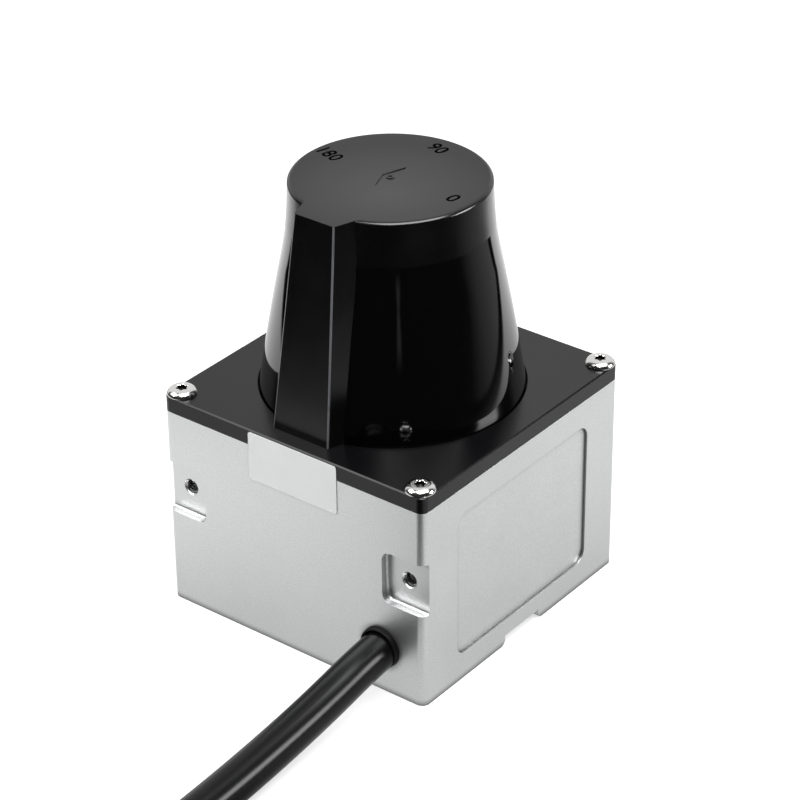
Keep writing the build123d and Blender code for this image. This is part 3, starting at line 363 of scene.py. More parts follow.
def polished_metal(name, colour, roughness):
    """Polished metal with slight smears and hair scratches."""
    finish = Finish(name, roughness, 1.0)
    smear = finish.noise(0.5 * MM, 3.0, 0.6)
    scratch = finish.noise(0.2 * MM, stretch=(1.0, 7.0, 1.0))
    finish.colour(finish.shades(smear, colour, 0.94, 1.04))
    finish.roughness(finish.spread(smear, roughness - 0.04, roughness + 0.07))
    finish.bump(scratch, 0.0015 * MM)
    return finish.material


def rubber_sheath(name, colour, roughness, specular=0.5):
    """Extruded rubber or sheath: satin, with a faint unevenness."""
    finish = Finish(name, roughness, 0.0, specular)
    fine = finish.noise(0.35 * MM, 3.0, 0.6)
    cloud = finish.noise(5 * MM)
    finish.colour(finish.shades(finish.spread(cloud, 0, 1), colour, 0.9, 1.15))
    finish.roughness(finish.spread(fine, roughness - 0.015, roughness + 0.015))
    finish.bump(fine, 0.0006 * MM)
    return finish.material


def blank_film(name, colour, roughness):
    """Blank self-adhesive film with a slight fibre."""
    finish = Finish(name, roughness)
    fibre = finish.noise(0.3 * MM, 4.0, 0.6, stretch=(1.0, 1.0, 3.0))
    cloud = finish.noise(6 * MM)
    finish.colour(finish.shades(cloud, colour, 0.96, 1.05))
    finish.roughness(finish.spread(fibre, roughness - 0.04, roughness + 0.05))
    finish.bump(fibre, 0.003 * MM)
    return finish.material


def board_laminate(name, colour):
    """Solder mask over woven laminate."""
    finish = Finish(name, 0.32)
    weave = finish.noise(0.5 * MM, stretch=(1.0, 3.0, 1.0))
    cloud = finish.noise(7 * MM)
    finish.colour(finish.shades(cloud, colour, 0.8, 1.2))
    finish.roughness(finish.spread(weave, 0.28, 0.4))
    finish.bump(weave, 0.006 * MM)
    return finish.material


def wound_wire(name, colour):
    """Lacquered wire in close turns."""
    finish = Finish(name, 0.3, 1.0)
    turns = finish.noise(0.4 * MM, 1.0, stretch=(0.4, 0.4, 3.0))
    finish.colour(finish.shades(finish.spread(turns, 0, 1), colour, 0.6, 1.2))
    finish.bump(turns, 0.08 * MM)
    return finish.material


def clear_glass(name, colour):
    """Coated lens glass."""
    finish = Finish(name, 0.03)
    smear = finish.noise(3 * MM)
    finish.shader.inputs["Transmission Weight"].default_value = 1.0
    finish.colour(finish.shades(smear, colour, 0.96, 1.0))
    finish.roughness(finish.spread(smear, 0.015, 0.05))
    return finish.material


def silvered(name, colour):
    """Metal coated front-surface mirror."""
    finish = Finish(name, 0.03, 1.0)
    haze = finish.noise(2 * MM)
    finish.colour(finish.shades(haze, colour, 0.97, 1.0))
    finish.roughness(finish.spread(haze, 0.02, 0.05))
    return finish.material


MADE = {}


def finish_for(slot):
    """The material of a record slot, or of some faces of a piece, made once."""
    if slot in MADE:
        return MADE[slot]
    colours = finishes()
    cap_grain = {"grain": 0.12 * MM, "depth": 0.0015 * MM}
    # Painted highlight on the cap's top face: brightest a little in front of its middle, fading over 20 mm
    # towards the rim
    cap_painted_sheen = ((4 * MM, -6 * MM, CAP_TOP), 20 * MM, 0.63, 0.26)
    makers = {
        "housing_metal": lambda: blasted_metal("blasted aluminium", colours.housing, 0.38),
        "lid_metal": lambda: anodised_black("black anodised lid", colours.lid),
        "window_plastic": lambda: gloss_window("gloss hood", colours.hood),
        "cap_plastic": lambda: textured_moulding("textured cap", colours.cap, 0.21, **cap_grain),
        "cap_face": lambda: textured_moulding("cap face", colours.cap, 0.21, **cap_grain, painted_sheen=cap_painted_sheen),
        # Painted highlight: a lighter colour on the rib's slanted edges, where their rounds catch the light
        "rib_edge_highlight": lambda: textured_moulding(
            "rib edge highlight", (0.055, 0.056, 0.06), 0.3, grain=0.12 * MM, depth=0.002 * MM
        ),
        "mark_filling": lambda: textured_moulding("mark filling", (0.001, 0.001, 0.001), 0.8, specular=0.0),
        "screw_steel": lambda: polished_metal("polished screw steel", (0.72, 0.71, 0.70), 0.14),
        # Painted shade: a dark metal for the inside of the screws' recesses, where shade falls
        "recess_painted_shade": lambda: blasted_metal("screw recess painted shade", (0.16, 0.16, 0.16), 0.3),
        "tapped_metal": lambda: polished_metal("tapped aluminium", (0.50, 0.50, 0.50), 0.25),
        "seal_rubber": lambda: rubber_sheath("seal rubber", (0.002, 0.002, 0.002), 0.5, 0.15),
        "label_film": lambda: blank_film("blank label film", colours.label, 0.45),
        "clamp_steel": lambda: blasted_metal("zinc plated clamp", (0.45, 0.45, 0.46), 0.35),
        "lead_insulation": lambda: rubber_sheath("lead insulation", (0.25, 0.02, 0.015), 0.4),
        "cable_sheath": lambda: rubber_sheath("cable sheath", colours.sheath, 0.25, 0.2),
        "tie_plastic": lambda: textured_moulding("tie strap", (0.012, 0.012, 0.012), 0.4),
        "plug_plastic": lambda: textured_moulding("plug moulding", (0.012, 0.012, 0.012), 0.38),
        "nickel_brass": lambda: polished_metal("nickel plated nut", (0.60, 0.57, 0.52), 0.22),
        "contact_gold": lambda: polished_metal("gold contacts", (0.80, 0.52, 0.18), 0.2),
        "circuit_board": lambda: board_laminate("board laminate", (0.01, 0.10, 0.04)),
        "component_plastic": lambda: textured_moulding("component epoxy", (0.015, 0.015, 0.016), 0.5),
        "standoff_brass": lambda: polished_metal("brass posts", (0.70, 0.48, 0.20), 0.25),
        "barrel_metal": lambda: anodised_black("black barrel", (0.012, 0.012, 0.013)),
        "lens_glass": lambda: clear_glass("lens glass", (0.80, 0.86, 0.88)),
        "machined_aluminium": lambda: blasted_metal("machined aluminium", (0.58, 0.58, 0.59), 0.3),
        "bearing_steel": lambda: polished_metal("bearing steel", (0.55, 0.55, 0.57), 0.18),
        "core_steel": lambda: blasted_metal("core laminations", (0.28, 0.28, 0.29), 0.4),
        "winding_copper": lambda: wound_wire("winding copper", (0.62, 0.22, 0.08)),
        "magnet_alloy": lambda: blasted_metal("magnet alloy", (0.16, 0.16, 0.17), 0.4),
        "carrier_plastic": lambda: textured_moulding("mirror carrier", (0.012, 0.012, 0.012), 0.5),
        "mirror_coating": lambda: silvered("mirror coating", (0.85, 0.78, 0.60)),
        "flex_film": lambda: blank_film("flex film", (0.40, 0.16, 0.03), 0.3),
    }
    MADE[slot] = makers[slot]()
    return MADE[slot]


# mesh making


def new_object(name, mesh):
    piece = bpy.data.objects.new(name, mesh)
    bpy.context.scene.collection.objects.link(piece)
    return piece


def mesh_from(name, work, corner=30.0):
    """A mesh object from a bmesh, smooth except at its corners."""
    bmesh.ops.remove_doubles(work, verts=work.verts, dist=0.0001 * MM)
    bmesh.ops.recalc_face_normals(work, faces=work.faces)
    mesh = bpy.data.meshes.new(name)
    work.to_mesh(mesh)
    work.free()
    mesh.shade_smooth()
    mesh.set_sharp_from_angle(angle=radians(corner))
    return new_object(name, mesh)


def merged_copy(node, name, corner=30.0):
    """A copy of a CAD node with its loose triangles joined and its flat faces whole."""
    work = bmesh.new()
    work.from_mesh(nodes[node].data)
    bmesh.ops.remove_doubles(work, verts=work.verts, dist=0.001 * MM)
    bmesh.ops.dissolve_limit(
        work,
        angle_limit=radians(0.4),
        verts=work.verts,
        edges=work.edges,
        use_dissolve_boundaries=False,
    )
    return mesh_from(name, work, corner)


def evaluated_mesh(piece):
    """The mesh that the piece's text or modifiers make."""
    graph = bpy.context.evaluated_depsgraph_get()
    return bpy.data.meshes.new_from_object(piece.evaluated_get(graph))


def apply_modifiers(piece):
    """Replace the piece's mesh by the result of its modifiers."""
    result = evaluated_mesh(piece)
    piece.modifiers.clear()
    piece.data = result
    return piece


def flatten_shading(piece):
    """Let the large faces decide the normals, so that flat faces shade flat."""
    step = piece.modifiers.new("flat faces", "WEIGHTED_NORMAL")
    step.mode = "FACE_AREA"
    step.weight = 100
    step.keep_sharp = True
    return apply_modifiers(piece)


def soften_edges(piece, width, segments=2):
    """Break the sharp edges of a piece by a small round."""
    bevel = piece.modifiers.new("edge round", "BEVEL")
    bevel.width = width
    bevel.segments = segments
    bevel.limit_method = "ANGLE"
    bevel.angle_limit = radians(38)
    bevel.miter_outer = "MITER_ARC"
    bevel.use_clamp_overlap = True
    apply_modifiers(piece)
    return flatten_shading(piece)


def cut(piece, cutters):
    """Cut the pieces in the list out of the piece and throw them away."""
    for cutter in cutters:
        step = piece.modifiers.new("cut", "BOOLEAN")
        step.operation = "DIFFERENCE"
        step.solver = "EXACT"
        step.material_mode = "TRANSFER"
        step.object = cutter
    apply_modifiers(piece)
    for cutter in cutters:
        bpy.data.objects.remove(cutter)
    return piece


def add_ring(work, radius_at, height, steps):
    """A ring of vertices whose radius may change from step to step."""
    return [
        work.verts.new(
            (radius_at(i) * cos(2 * pi * i / steps), radius_at(i) * sin(2 * pi * i / steps), height)
        )
        for i in range(steps)
    ]


def join_rings(work, rings, steps):
    """Faces from each ring to the next; a ring may be a single point, repeated."""
    for ring, after in zip(rings, rings[1:]):
        for i in range(steps):
            j = (i + 1) % steps
            corners = []
            for vert in (ring[i], ring[j], after[j], after[i]):
                if vert not in corners:
                    corners.append(vert)
            if len(corners) > 2:
                work.faces.new(corners)


def lathe(name, profile, steps):
    """A closed turned piece; the profile is a closed loop of (radius, height)."""
    work = bmesh.new()
    rings = []
    for radius, height in profile:
        if radius > 0:
            rings.append(add_ring(work, lambda i: radius, height, steps))
        else:
            rings.append([work.verts.new((0, 0, height))] * steps)
    join_rings(work, rings + rings[:1], steps)
    return mesh_from(name, work)


def arc_about(centre, radius, first, last, count):
    """Points on a circle, the short way from the first to the last, the ends included."""
    (ux, uy), (ax, ay), (cx, cy) = centre, first, last
    start = atan2(ay - uy, ax - ux)
    turn = atan2(cy - uy, cx - ux) - start
    turn -= 2 * pi * round(turn / (2 * pi))
    return [
        (ux + radius * cos(start + turn * i / count), uy + radius * sin(start + turn * i / count))
        for i in range(count + 1)
    ]


def arc_through(first, middle, last, count):
    """Points on the circle through three points."""
    (ax, ay), (bx, by), (cx, cy) = first, middle, last
    d = 2 * (ax * (by - cy) + bx * (cy - ay) + cx * (ay - by))
    a2, b2, c2 = ax * ax + ay * ay, bx * bx + by * by, cx * cx + cy * cy
    ux = (a2 * (by - cy) + b2 * (cy - ay) + c2 * (ay - by)) / d
    uy = (a2 * (cx - bx) + b2 * (ax - cx) + c2 * (bx - ax)) / d
    return arc_about((ux, uy), hypot(ax - ux, ay - uy), first, last, count)


def tangent_arc(first, last, lean, count):
    """Points on the circle that leaves the first point along the lean and ends at the last."""
    normal = Vector((lean[1], -lean[0])).normalized()
    chord = Vector(last) - Vector(first)
    radius = chord.length_squared / (2 * chord.dot(normal))
    centre = Vector(first) + normal * radius
    return arc_about(centre, abs(radius), first, last, count)


def wear(piece, slot, body, *replaced):
    """Give a finished piece the material of its slot, attach it to its body and hide the nodes that it stands
    for.
    """
    piece.data.materials.clear()
    piece.data.materials.append(finish_for(slot))
    if replaced:
        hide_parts(*replaced)
    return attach(piece, body)


def node_tree(name, sockets):
    """An empty geometry tree with named inputs; returns the tree and its inputs' sockets."""
    tree = bpy.data.node_groups.new(name, "GeometryNodeTree")
    tree.interface.new_socket(name="Geometry", in_out="OUTPUT", socket_type="NodeSocketGeometry")
    for label, kind in sockets.items():
        tree.interface.new_socket(name=label, in_out="INPUT", socket_type="NodeSocket" + kind)
    return tree, tree.nodes.new("NodeGroupInput").outputs


def finish_tree(tree, instances, material):
    """End a tree with real geometry in its material."""
    real = add_node(tree, "GeometryNodeRealizeInstances", {"Geometry": instances})
    inputs = {"Geometry": real.outputs["Geometry"], "Material": material}
    paint = add_node(tree, "GeometryNodeSetMaterial", inputs)
    add_node(tree, "NodeGroupOutput", {0: paint.outputs["Geometry"]})
    return tree


def tree_result(tree, name, values):
    """Run a geometry tree and return its result as a plain mesh object."""
    holder = new_object(name + " tree", bpy.data.meshes.new(name + " tree"))
    step = holder.modifiers.new(name, "NODES")
    step.node_group = tree
    for item in tree.interface.items_tree:
        if item.in_out == "INPUT" and item.name in values:
            step[item.identifier] = values[item.name]
    mesh = evaluated_mesh(holder)
    bpy.data.objects.remove(holder)
    mesh.name = name
    return new_object(name, mesh)


# stage


class SCANNER_OT_stage(bpy.types.Operator):
    """Camera, floor, background and lamps"""

    bl_idname = "scanner.stage"
    bl_label = "Stage"

    azimuth: FloatProperty(
        name="Azimuth",
        description="How far the camera is turned round the scanner, from its rear to its right",
        default=radians(38.1136),
        subtype="ANGLE",
    )
    elevation: FloatProperty(
        name="Elevation",
        description="How far the camera looks down",
        default=radians(30.5449),
        subtype="ANGLE",
    )
    roll: FloatProperty(
        name="Roll",
        description="How far the camera leans",
        default=radians(-0.5816),
        subtype="ANGLE",
    )
    distance: FloatProperty(
        name="Distance",
        description="From the camera to the place that it aims at",
        default=0.5315,
        unit="LENGTH",
    )
    lens: FloatProperty(
        name="Lens",
        description="Focal length of the camera",
        default=129.692,
        unit="CAMERA",
    )

    def execute(self, context):
        self.add_camera(context)
        self.add_floor()
        self.add_world(context)
        self.add_lamps()
        context.scene.view_settings.view_transform = "Standard"
        return {"FINISHED"}

    def add_camera(self, context):
        a, e = self.azimuth, self.elevation
        back = Vector((sin(a) * cos(e), -cos(a) * cos(e), sin(e)))
        right = Vector((cos(a), sin(a), 0))
        up = back.cross(right)
        side = cos(self.roll) * right + sin(self.roll) * up
        rise = -sin(self.roll) * right + cos(self.roll) * up
        # Where the camera aims, in millimetres from the middle of the lid's top
        aim_side, aim_down = 1.35, 4.05
        target = Vector((0, 0, LID_TOP)) + side * aim_side * MM - rise * aim_down * MM
        camera = bpy.data.cameras.new("camera")
        camera.lens = self.lens
        camera.sensor_width = 36
        camera.clip_start = 0.05
        eye = new_object("camera", camera)
        turn = Matrix((side, rise, back)).transposed().to_4x4()
        eye.matrix_world = Matrix.Translation(target + back * self.distance) @ turn
        context.scene.camera = eye

    def add_floor(self):
        """Paper floor: white to the camera, with a faint shadow, and its own light for reflections."""
        work = bmesh.new()
        bmesh.ops.create_circle(work, cap_ends=True, segments=96, radius=1.6)
        mesh = bpy.data.meshes.new("floor")
        work.to_mesh(mesh)
        work.free()
        floor = new_object("floor", mesh)
        material = bpy.data.materials.new("floor paper")
        material.use_nodes = True
        tree = material.node_tree
        tree.nodes.clear()
        place = add_node(tree, "ShaderNodeTexCoord").outputs["Object"]
        path = add_node(tree, "ShaderNodeLightPath").outputs
        paper = add_node(tree, "ShaderNodeBsdfDiffuse", {"Color": (0.86, 0.86, 0.86, 1)})
        glow = add_node(tree, "ShaderNodeEmission")
        glow_share = product(tree, path["Is Camera Ray"], 0.62)
        seen = add_node(tree, "ShaderNodeMixShader", {0: glow_share, 1: paper.outputs[0], 2: glow.outputs[0]})
        mirrored = add_node(tree, "ShaderNodeEmission", {"Strength": self.floor_light(tree, place)})
        inputs = {0: path["Is Glossy Ray"], 1: seen.outputs[0], 2: mirrored.outputs[0]}
        whole = add_node(tree, "ShaderNodeMixShader", inputs)
        add_node(tree, "ShaderNodeOutputMaterial", {"Surface": whole.outputs[0]})
        mesh.materials.append(material)

    def compass(self):
        """The level directions towards the camera and to its right."""
        a = self.azimuth
        return Vector((sin(a), -cos(a), 0)), Vector((cos(a), sin(a), 0))

    def headings(self, tree, place):
        """How far a place lies towards the camera, and how far to its right."""
        shares = []
        for way in self.compass():
            share = add_node(tree, "ShaderNodeVectorMath", {0: place, 1: way}, operation="DOT_PRODUCT")
            shares.append(share.outputs["Value"])
        return shares

    def ramp(self, tree, value, low, high, stops):
        """A grey ramp over the value's range; its stops are given in that range."""
        node = add_node(tree, "ShaderNodeValToRGB", {"Fac": map_range(tree, value, (low, high))})
        elements = node.color_ramp.elements
        while len(elements) < len(stops):
            elements.new(0.5)
        for element, (spot, grey) in zip(elements, stops):
            element.position = (spot - low) / (high - low)
            element.color = (grey, grey, grey, 1)
        return node.outputs["Color"]

    def floor_light(self, tree, place):
        """What reflections see of the floor: a painted pool of light with painted shade at the object's foot,
        brighter to the camera's left, and a dark flag in front, then the table.
        """
        ahead, right = self.compass()
        side = self.headings(tree, place)[1]
        reach = add_node(tree, "ShaderNodeVectorMath", {0: place}, operation="LENGTH").outputs["Value"]
        flag = ahead * 0.13 - right * 0.03
        inputs = {0: place, 1: flag}
        from_flag = add_node(tree, "ShaderNodeVectorMath", inputs, operation="DISTANCE").outputs["Value"]
        past_flag = map_range(tree, from_flag, (0.04, 0.09), (0.02, 1.0), "SMOOTHSTEP")
        # Painted shade: the pool darkens close to the object, standing in for the shadow at its foot
        foot = map_range(tree, reach, (0.035, 0.09), (0.66, 1.0))
        # Painted light: the pool is brighter to the camera's left than to its right
        lean = map_range(tree, side, (-0.1, 0.1), (1.13, 0.90))
        pool = product(tree, past_flag, product(tree, foot, lean))
        beyond = map_range(tree, reach, (0.10, 0.19), curve="SMOOTHSTEP")
        return blend(tree, beyond, pool, self.table_light(tree, place))

    def table_light(self, tree, place):
        """The table beyond the pool: a white strip with dark edges, grey at its sides, dark in front."""
        ahead, side = self.headings(tree, place)
        white, grey, dark, black = 1.5, 0.13, 0.03, 0.01
        across = (
            (-0.60, grey),
            (-0.188, grey),
            (-0.182, black),
            (-0.164, black),
            (-0.156, white),
            (0.156, white),
            (0.164, black),
            (0.182, black),
            (0.188, 3 * grey),
            (0.60, 3 * grey),
        )
        strip = self.ramp(tree, side, -0.6, 0.6, across)
        front = self.ramp(tree, ahead, -0.4, 0.4, ((-0.06, 0.0), (0.0, 0.25), (0.08, 0.95), (0.13, 1.0)))
        lit = blend(tree, front, strip, dark)
        # A narrow slanted beam behind the object
        slant, beam_light = -0.11, 0.32
        inputs = {0: ahead, 1: slant, 2: side}
        beam_side = add_node(tree, "ShaderNodeMath", inputs, operation="MULTIPLY_ADD").outputs[0]
        width = ((-0.022, 0.0), (-0.006, 1.0), (0.006, 1.0), (0.022, 0.0))
        depth = ((0.36, 0.0), (0.46, beam_light), (0.60, beam_light), (0.74, 0.0))
        beam = product(
            tree,
            self.ramp(tree, beam_side, -0.1, 0.1, width),
            self.ramp(tree, ahead, 0.0, 1.0, depth),
        )
        return blend(tree, beam, lit, 1.0)

    def studio_light(self, tree, place):
        """What reflections see above the floor: white behind, grey at the sides, dark in front."""
        level = add_node(tree, "ShaderNodeVectorMath", {0: place, 1: (1, 1, 0)}, operation="MULTIPLY")
        unit = add_node(tree, "ShaderNodeVectorMath", {0: level.outputs["Vector"]}, operation="NORMALIZE")
        ahead, side = self.headings(tree, unit.outputs["Vector"])
        left, right = (
            self.ramp(tree, ahead, -1, 1, ((-0.60, 1.15), (-0.45, grey), (0.2, dark), (0.5, 0.02)))
            for grey, dark in ((0.10, 0.05), (0.12, 0.06))
        )
        share = self.ramp(tree, side, -1, 1, ((-0.1, 0.0), (0.1, 1.0)))
        return blend(tree, share, left, right)

    def add_world(self, context):
        """Even light for matt surfaces, the studio's own light for reflections, white to the camera."""
        world = bpy.data.worlds.new("studio")
        context.scene.world = world
        world.use_nodes = True
        tree = world.node_tree
        tree.nodes.clear()
        place = add_node(tree, "ShaderNodeTexCoord").outputs["Generated"]
        path = add_node(tree, "ShaderNodeLightPath").outputs
        even, white = 0.8, 1.0
        lit = blend(tree, path["Is Glossy Ray"], even, self.studio_light(tree, place))
        seen = blend(tree, path["Is Camera Ray"], lit, white)
        sky = add_node(tree, "ShaderNodeBackground", {"Strength": seen})
        add_node(tree, "ShaderNodeOutputWorld", {"Surface": sky.outputs[0]})

    def add_lamps(self):
        """Soft boxes: one overhead and one at each side."""
        # Name, swing from the camera and lift in degrees, reach and size in metres, power in watts
        lamps = (
            ("overhead softbox", 30, 69, 0.60, 0.60, 0.40, 7.6),
            ("right softbox", 84, 18, 0.65, 0.24, 0.20, 2.6),
            ("left softbox", -84, 43, 0.65, 0.40, 0.40, 2.8),
        )
        for name, swing, lift, reach, width, height, power in lamps:
            light = bpy.data.lights.new(name, "AREA")
            light.shape = "RECTANGLE"
            light.size = width
            light.size_y = height
            light.energy = power
            lamp = new_object(name, light)
            a = self.azimuth + radians(swing)
            e = radians(lift)
            spot = Vector((sin(a) * cos(e), -cos(a) * cos(e), sin(e))) * reach
            lamp.location = spot + Vector((0, 0, LID_TOP))
            lamp.rotation_euler = spot.to_track_quat("Z", "Y").to_euler()


# cable


def cable_route():
    """Centre line of the cable: down from the housing, over the floor, round the coil, to the plug."""
    points = [
        (20.3, -21.3, 9.4),
        (20.3, -31.0, 9.4),
        (20.3, -50.7, 5.75),
        (20.7, -75.0, 4.0),
        (21.0, -100.0, 3.8),
    ]
    centre_x, centre_y = 60.8, -125.0
    outer, inner = 40.2, 32.8
    low, high = 3.75, 11.15
    turns = 3.5
    count = sizes().coil_points
    steps = int(turns * count)

    # Each turn lies in its own lane: outer low, inner low, inner high, outer high
    change = 0.12

    def changed(turn, start):
        """How much of a change of lane is done at a turn."""
        return min(1.0, max(0.0, (turn - start) / change))

    for i in range(steps + 1):
        turn = turns * i / steps
        angle = pi + 2 * pi * turn
        inward = changed(turn, 0.94) - changed(turn, 2.94)
        lifted = changed(turn, 1.94)
        radius = outer + (inner - outer) * inward
        height = low + (high - low) * lifted
        points.append((centre_x + radius * cos(angle), centre_y + radius * sin(angle), height))
    points += [
        (101.0, -110.0, 11.15),
        (98.0, -90.0, 7.3),
        (98.0, -80.0, 7.3),
    ]
    return [Vector(point) * MM for point in points]


class SCANNER_OT_cable(bpy.types.Operator):
    """Cable with its coil, the tie, the grommet and the plug"""

    bl_idname = "scanner.cable"
    bl_label = "Cable"

    def execute(self, context):
        route = cable_route()
        curve = bpy.data.curves.new("cable_line", "CURVE")
        curve.dimensions = "3D"
        spline = curve.splines.new("NURBS")
        spline.points.add(len(route) - 1)
        for point, place in zip(spline.points, route):
            point.co = (*place, 1.0)
        spline.order_u = 3
        spline.use_endpoint_u = True
        spline.resolution_u = 12
        curve.bevel_depth = sizes().cable_radius
        curve.bevel_resolution = 8
        curve.use_fill_caps = True
        curve.materials.append(finish_for("cable_sheath"))
        line = new_object("cable_line", curve)
        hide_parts("cable", "cable_coil", "cable_tail")
        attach(line, "housing")

        grommet = merged_copy("cable_grommet", "grommet")
        wear(grommet, "seal_rubber", "housing", "cable_grommet")
        tie = soften_edges(merged_copy("coil_tie", "tie"), 0.25 * MM, segments=3)
        wear(tie, "tie_plastic", "housing", "coil_tie")
        grip = soften_edges(merged_copy("plug_grip", "plug_grip_moulding"), 0.12 * MM)
        wear(grip, "plug_plastic", "housing", "plug_grip")
        return {"FINISHED"}


# housing


class SCANNER_OT_housing(bpy.types.Operator):
    """Blasted housing with broken edges, and the thread in its mounting holes"""

    bl_idname = "scanner.housing"
    bl_label = "Housing"

    def execute(self, context):
        shell = merged_copy("base_housing", "housing_shell")
        mouth, bore = 1.78 * MM, 1.45 * MM
        above, below = -0.1 * MM, 0.3 * MM
        cutters = []
        for side in (-1, 1):
            cutter = lathe("countersink", ((0, above), (mouth, above), (bore, below), (0, below)), 64)
            cutter.data.transform(self.into_pad(side * HOLE_X, PAD_FLOOR))
            cutters.append(cutter)
        cut(shell, cutters)
        soften_edges(shell, sizes().edge_round)
        wear(shell, "housing_metal", "housing", "base_housing")

        thread = tree_result(
            self.thread_tree(),
            "mount_hole_threads",
            {
                "Pitch": sizes().thread_pitch,
                "Hole radius": HOLE_RADIUS,
                "Crest": 0.22 * MM,
                "Hole spacing": 2 * HOLE_X,
                "Metal": finish_for("housing_metal"),
            },
        )
        thread.data.transform(self.into_pad(0, PAD_FLOOR + 0.2 * MM))
        thread.data.shade_smooth()
        thread.data.set_sharp_from_angle(angle=radians(40))
        wear(thread, "housing_metal", "housing")
        thread.data.materials[0] = finish_for("tapped_metal")
        return {"FINISHED"}

    def into_pad(self, x, y):
        """Turns a form that stands on the origin into a mounting hole."""
        return Matrix.Translation((x, y, HOLE_Z)) @ Matrix.Rotation(radians(-90), 4, "X")

    def thread_tree(self):
        """Helical ridges inside both holes, along +Z from the origin."""
        sockets = {
            "Pitch": "Float",
            "Hole radius": "Float",
            "Crest": "Float",
            "Hole spacing": "Float",
            "Metal": "Material",
        }
        tree, given = node_tree("hole thread", sockets)
        turns = 7
        inputs = {
            "Resolution": 40,
            "Rotations": turns,
            "Start Radius": given["Hole radius"],
            "End Radius": given["Hole radius"],
            "Height": product(tree, given["Pitch"], turns),
        }
        helix = add_node(tree, "GeometryNodeCurveSpiral", inputs).outputs["Curve"]
        inputs = {"Resolution": 4, "Radius": given["Crest"]}
        ridge = add_node(tree, "GeometryNodeCurvePrimitiveCircle", inputs).outputs["Curve"]
        inputs = {"Curve": helix, "Profile Curve": ridge, "Fill Caps": True}
        sweep = add_node(tree, "GeometryNodeCurveToMesh", inputs).outputs["Mesh"]
        first = add_node(tree, "ShaderNodeCombineXYZ", {"X": product(tree, given["Hole spacing"], -0.5)})
        step = add_node(tree, "ShaderNodeCombineXYZ", {"X": given["Hole spacing"]})
        inputs = {"Count": 2, "Start Location": first.outputs[0], "Offset": step.outputs[0]}
        row = add_node(tree, "GeometryNodeMeshLine", inputs).outputs["Mesh"]
        both = add_node(tree, "GeometryNodeInstanceOnPoints", {"Points": row, "Instance": sweep})
        return finish_tree(tree, both.outputs["Instances"], given["Metal"])


# lid and its screws


class SCANNER_OT_lid(bpy.types.Operator):
    """Dark anodised lid"""

    bl_idname = "scanner.lid"
    bl_label = "Lid"

    def execute(self, context):
        lid = merged_copy("lid_plate", "lid")
        soften_edges(lid, sizes().lid_edge_round)
        wear(lid, "lid_metal", "housing", "lid_plate")
        return {"FINISHED"}


class SCANNER_OT_lid_screws(bpy.types.Operator):
    """Button head screws with six-lobed recesses, one in each corner of the lid"""

    bl_idname = "scanner.lid_screws"
    bl_label = "Lid screws"

    def execute(self, context):
        pattern = self.one_screw()
        screws = tree_result(
            self.corner_tree(),
            "lid_screw_heads",
            {"Screw": pattern, "Corner": SCREW_XY, "Level": LID_TOP, "Steel": finish_for("screw_steel")},
        )
        bpy.data.objects.remove(pattern)
        screws.data.shade_smooth()
        screws.data.set_sharp_from_angle(angle=radians(32))
        wear(screws, "screw_steel", "housing", "lid_screws")
        # Painted shade: the faces inside each recess get a darker metal
        screws.data.materials.append(finish_for("recess_painted_shade"))
        recess = 0.4 * sizes().screw_head
        rim = LID_TOP + 0.96 * sizes().screw_rise
        for face in screws.data.polygons:
            reach = hypot(abs(face.center.x) - SCREW_XY, abs(face.center.y) - SCREW_XY)
            if reach < recess and LID_TOP < face.center.z < rim:
                face.material_index = 1
        return {"FINISHED"}

    def one_screw(self):
        """A screw whose head stands on the level zero."""
        head, rise = sizes().screw_head, sizes().screw_rise
        shank, end = 1.45 * MM, -8.2 * MM
        steps = 120

        def lobes(i):
            return head * (0.345 + 0.055 * cos(6 * 2 * pi * i / steps))

        def plain(radius):
            return lambda i: radius

        dome = arc_through((head, 0.22 * rise), (0.84 * head, 0.74 * rise), (0.5 * head, rise), 10)
        outside = [(shank, end), (shank, 0), (0.97 * head, 0), (head, 0.05 * rise), *dome]
        rings = [(plain(radius), height) for radius, height in outside]
        rings += [
            (lambda i: lobes(i) + 0.035 * head, rise),
            (lobes, rise - 0.03 * head),
            (lobes, 0.36 * rise),
            (lambda i: 0.8 * lobes(i), 0.30 * rise),
        ]
        work = bmesh.new()
        made = [add_ring(work, radius_at, height, steps) for radius_at, height in rings]
        tip = [work.verts.new((0, 0, end))] * steps
        pit = [work.verts.new((0, 0, 0.16 * rise))] * steps
        join_rings(work, [tip, *made, pit], steps)
        return mesh_from("screw pattern", work, 32)

    def corner_tree(self):
        """Four copies of the screw, one for each corner, each turned by its own angle."""
        sockets = {"Screw": "Object", "Corner": "Float", "Level": "Float", "Steel": "Material"}
        tree, given = node_tree("corner screws", sockets)
        screw = add_node(tree, "GeometryNodeObjectInfo", {"Object": given["Screw"]}).outputs["Geometry"]
        side = product(tree, given["Corner"], 2.0)
        inputs = {"Vertices X": 2, "Vertices Y": 2, "Size X": side, "Size Y": side}
        grid = add_node(tree, "GeometryNodeMeshGrid", inputs).outputs["Mesh"]
        index = add_node(tree, "GeometryNodeInputIndex").outputs[0]
        twist = 0.37
        turn = add_node(tree, "ShaderNodeCombineXYZ", {"Z": product(tree, index, twist)}).outputs[0]
        inputs = {"Points": grid, "Instance": screw, "Rotation": turn}
        four = add_node(tree, "GeometryNodeInstanceOnPoints", inputs).outputs["Instances"]
        lift = add_node(tree, "ShaderNodeCombineXYZ", {"Z": given["Level"]}).outputs[0]
        inputs = {"Geometry": four, "Translation": lift}
        lifted = add_node(tree, "GeometryNodeTransform", inputs).outputs["Geometry"]
        return finish_tree(tree, lifted, given["Steel"])


# hood and cap


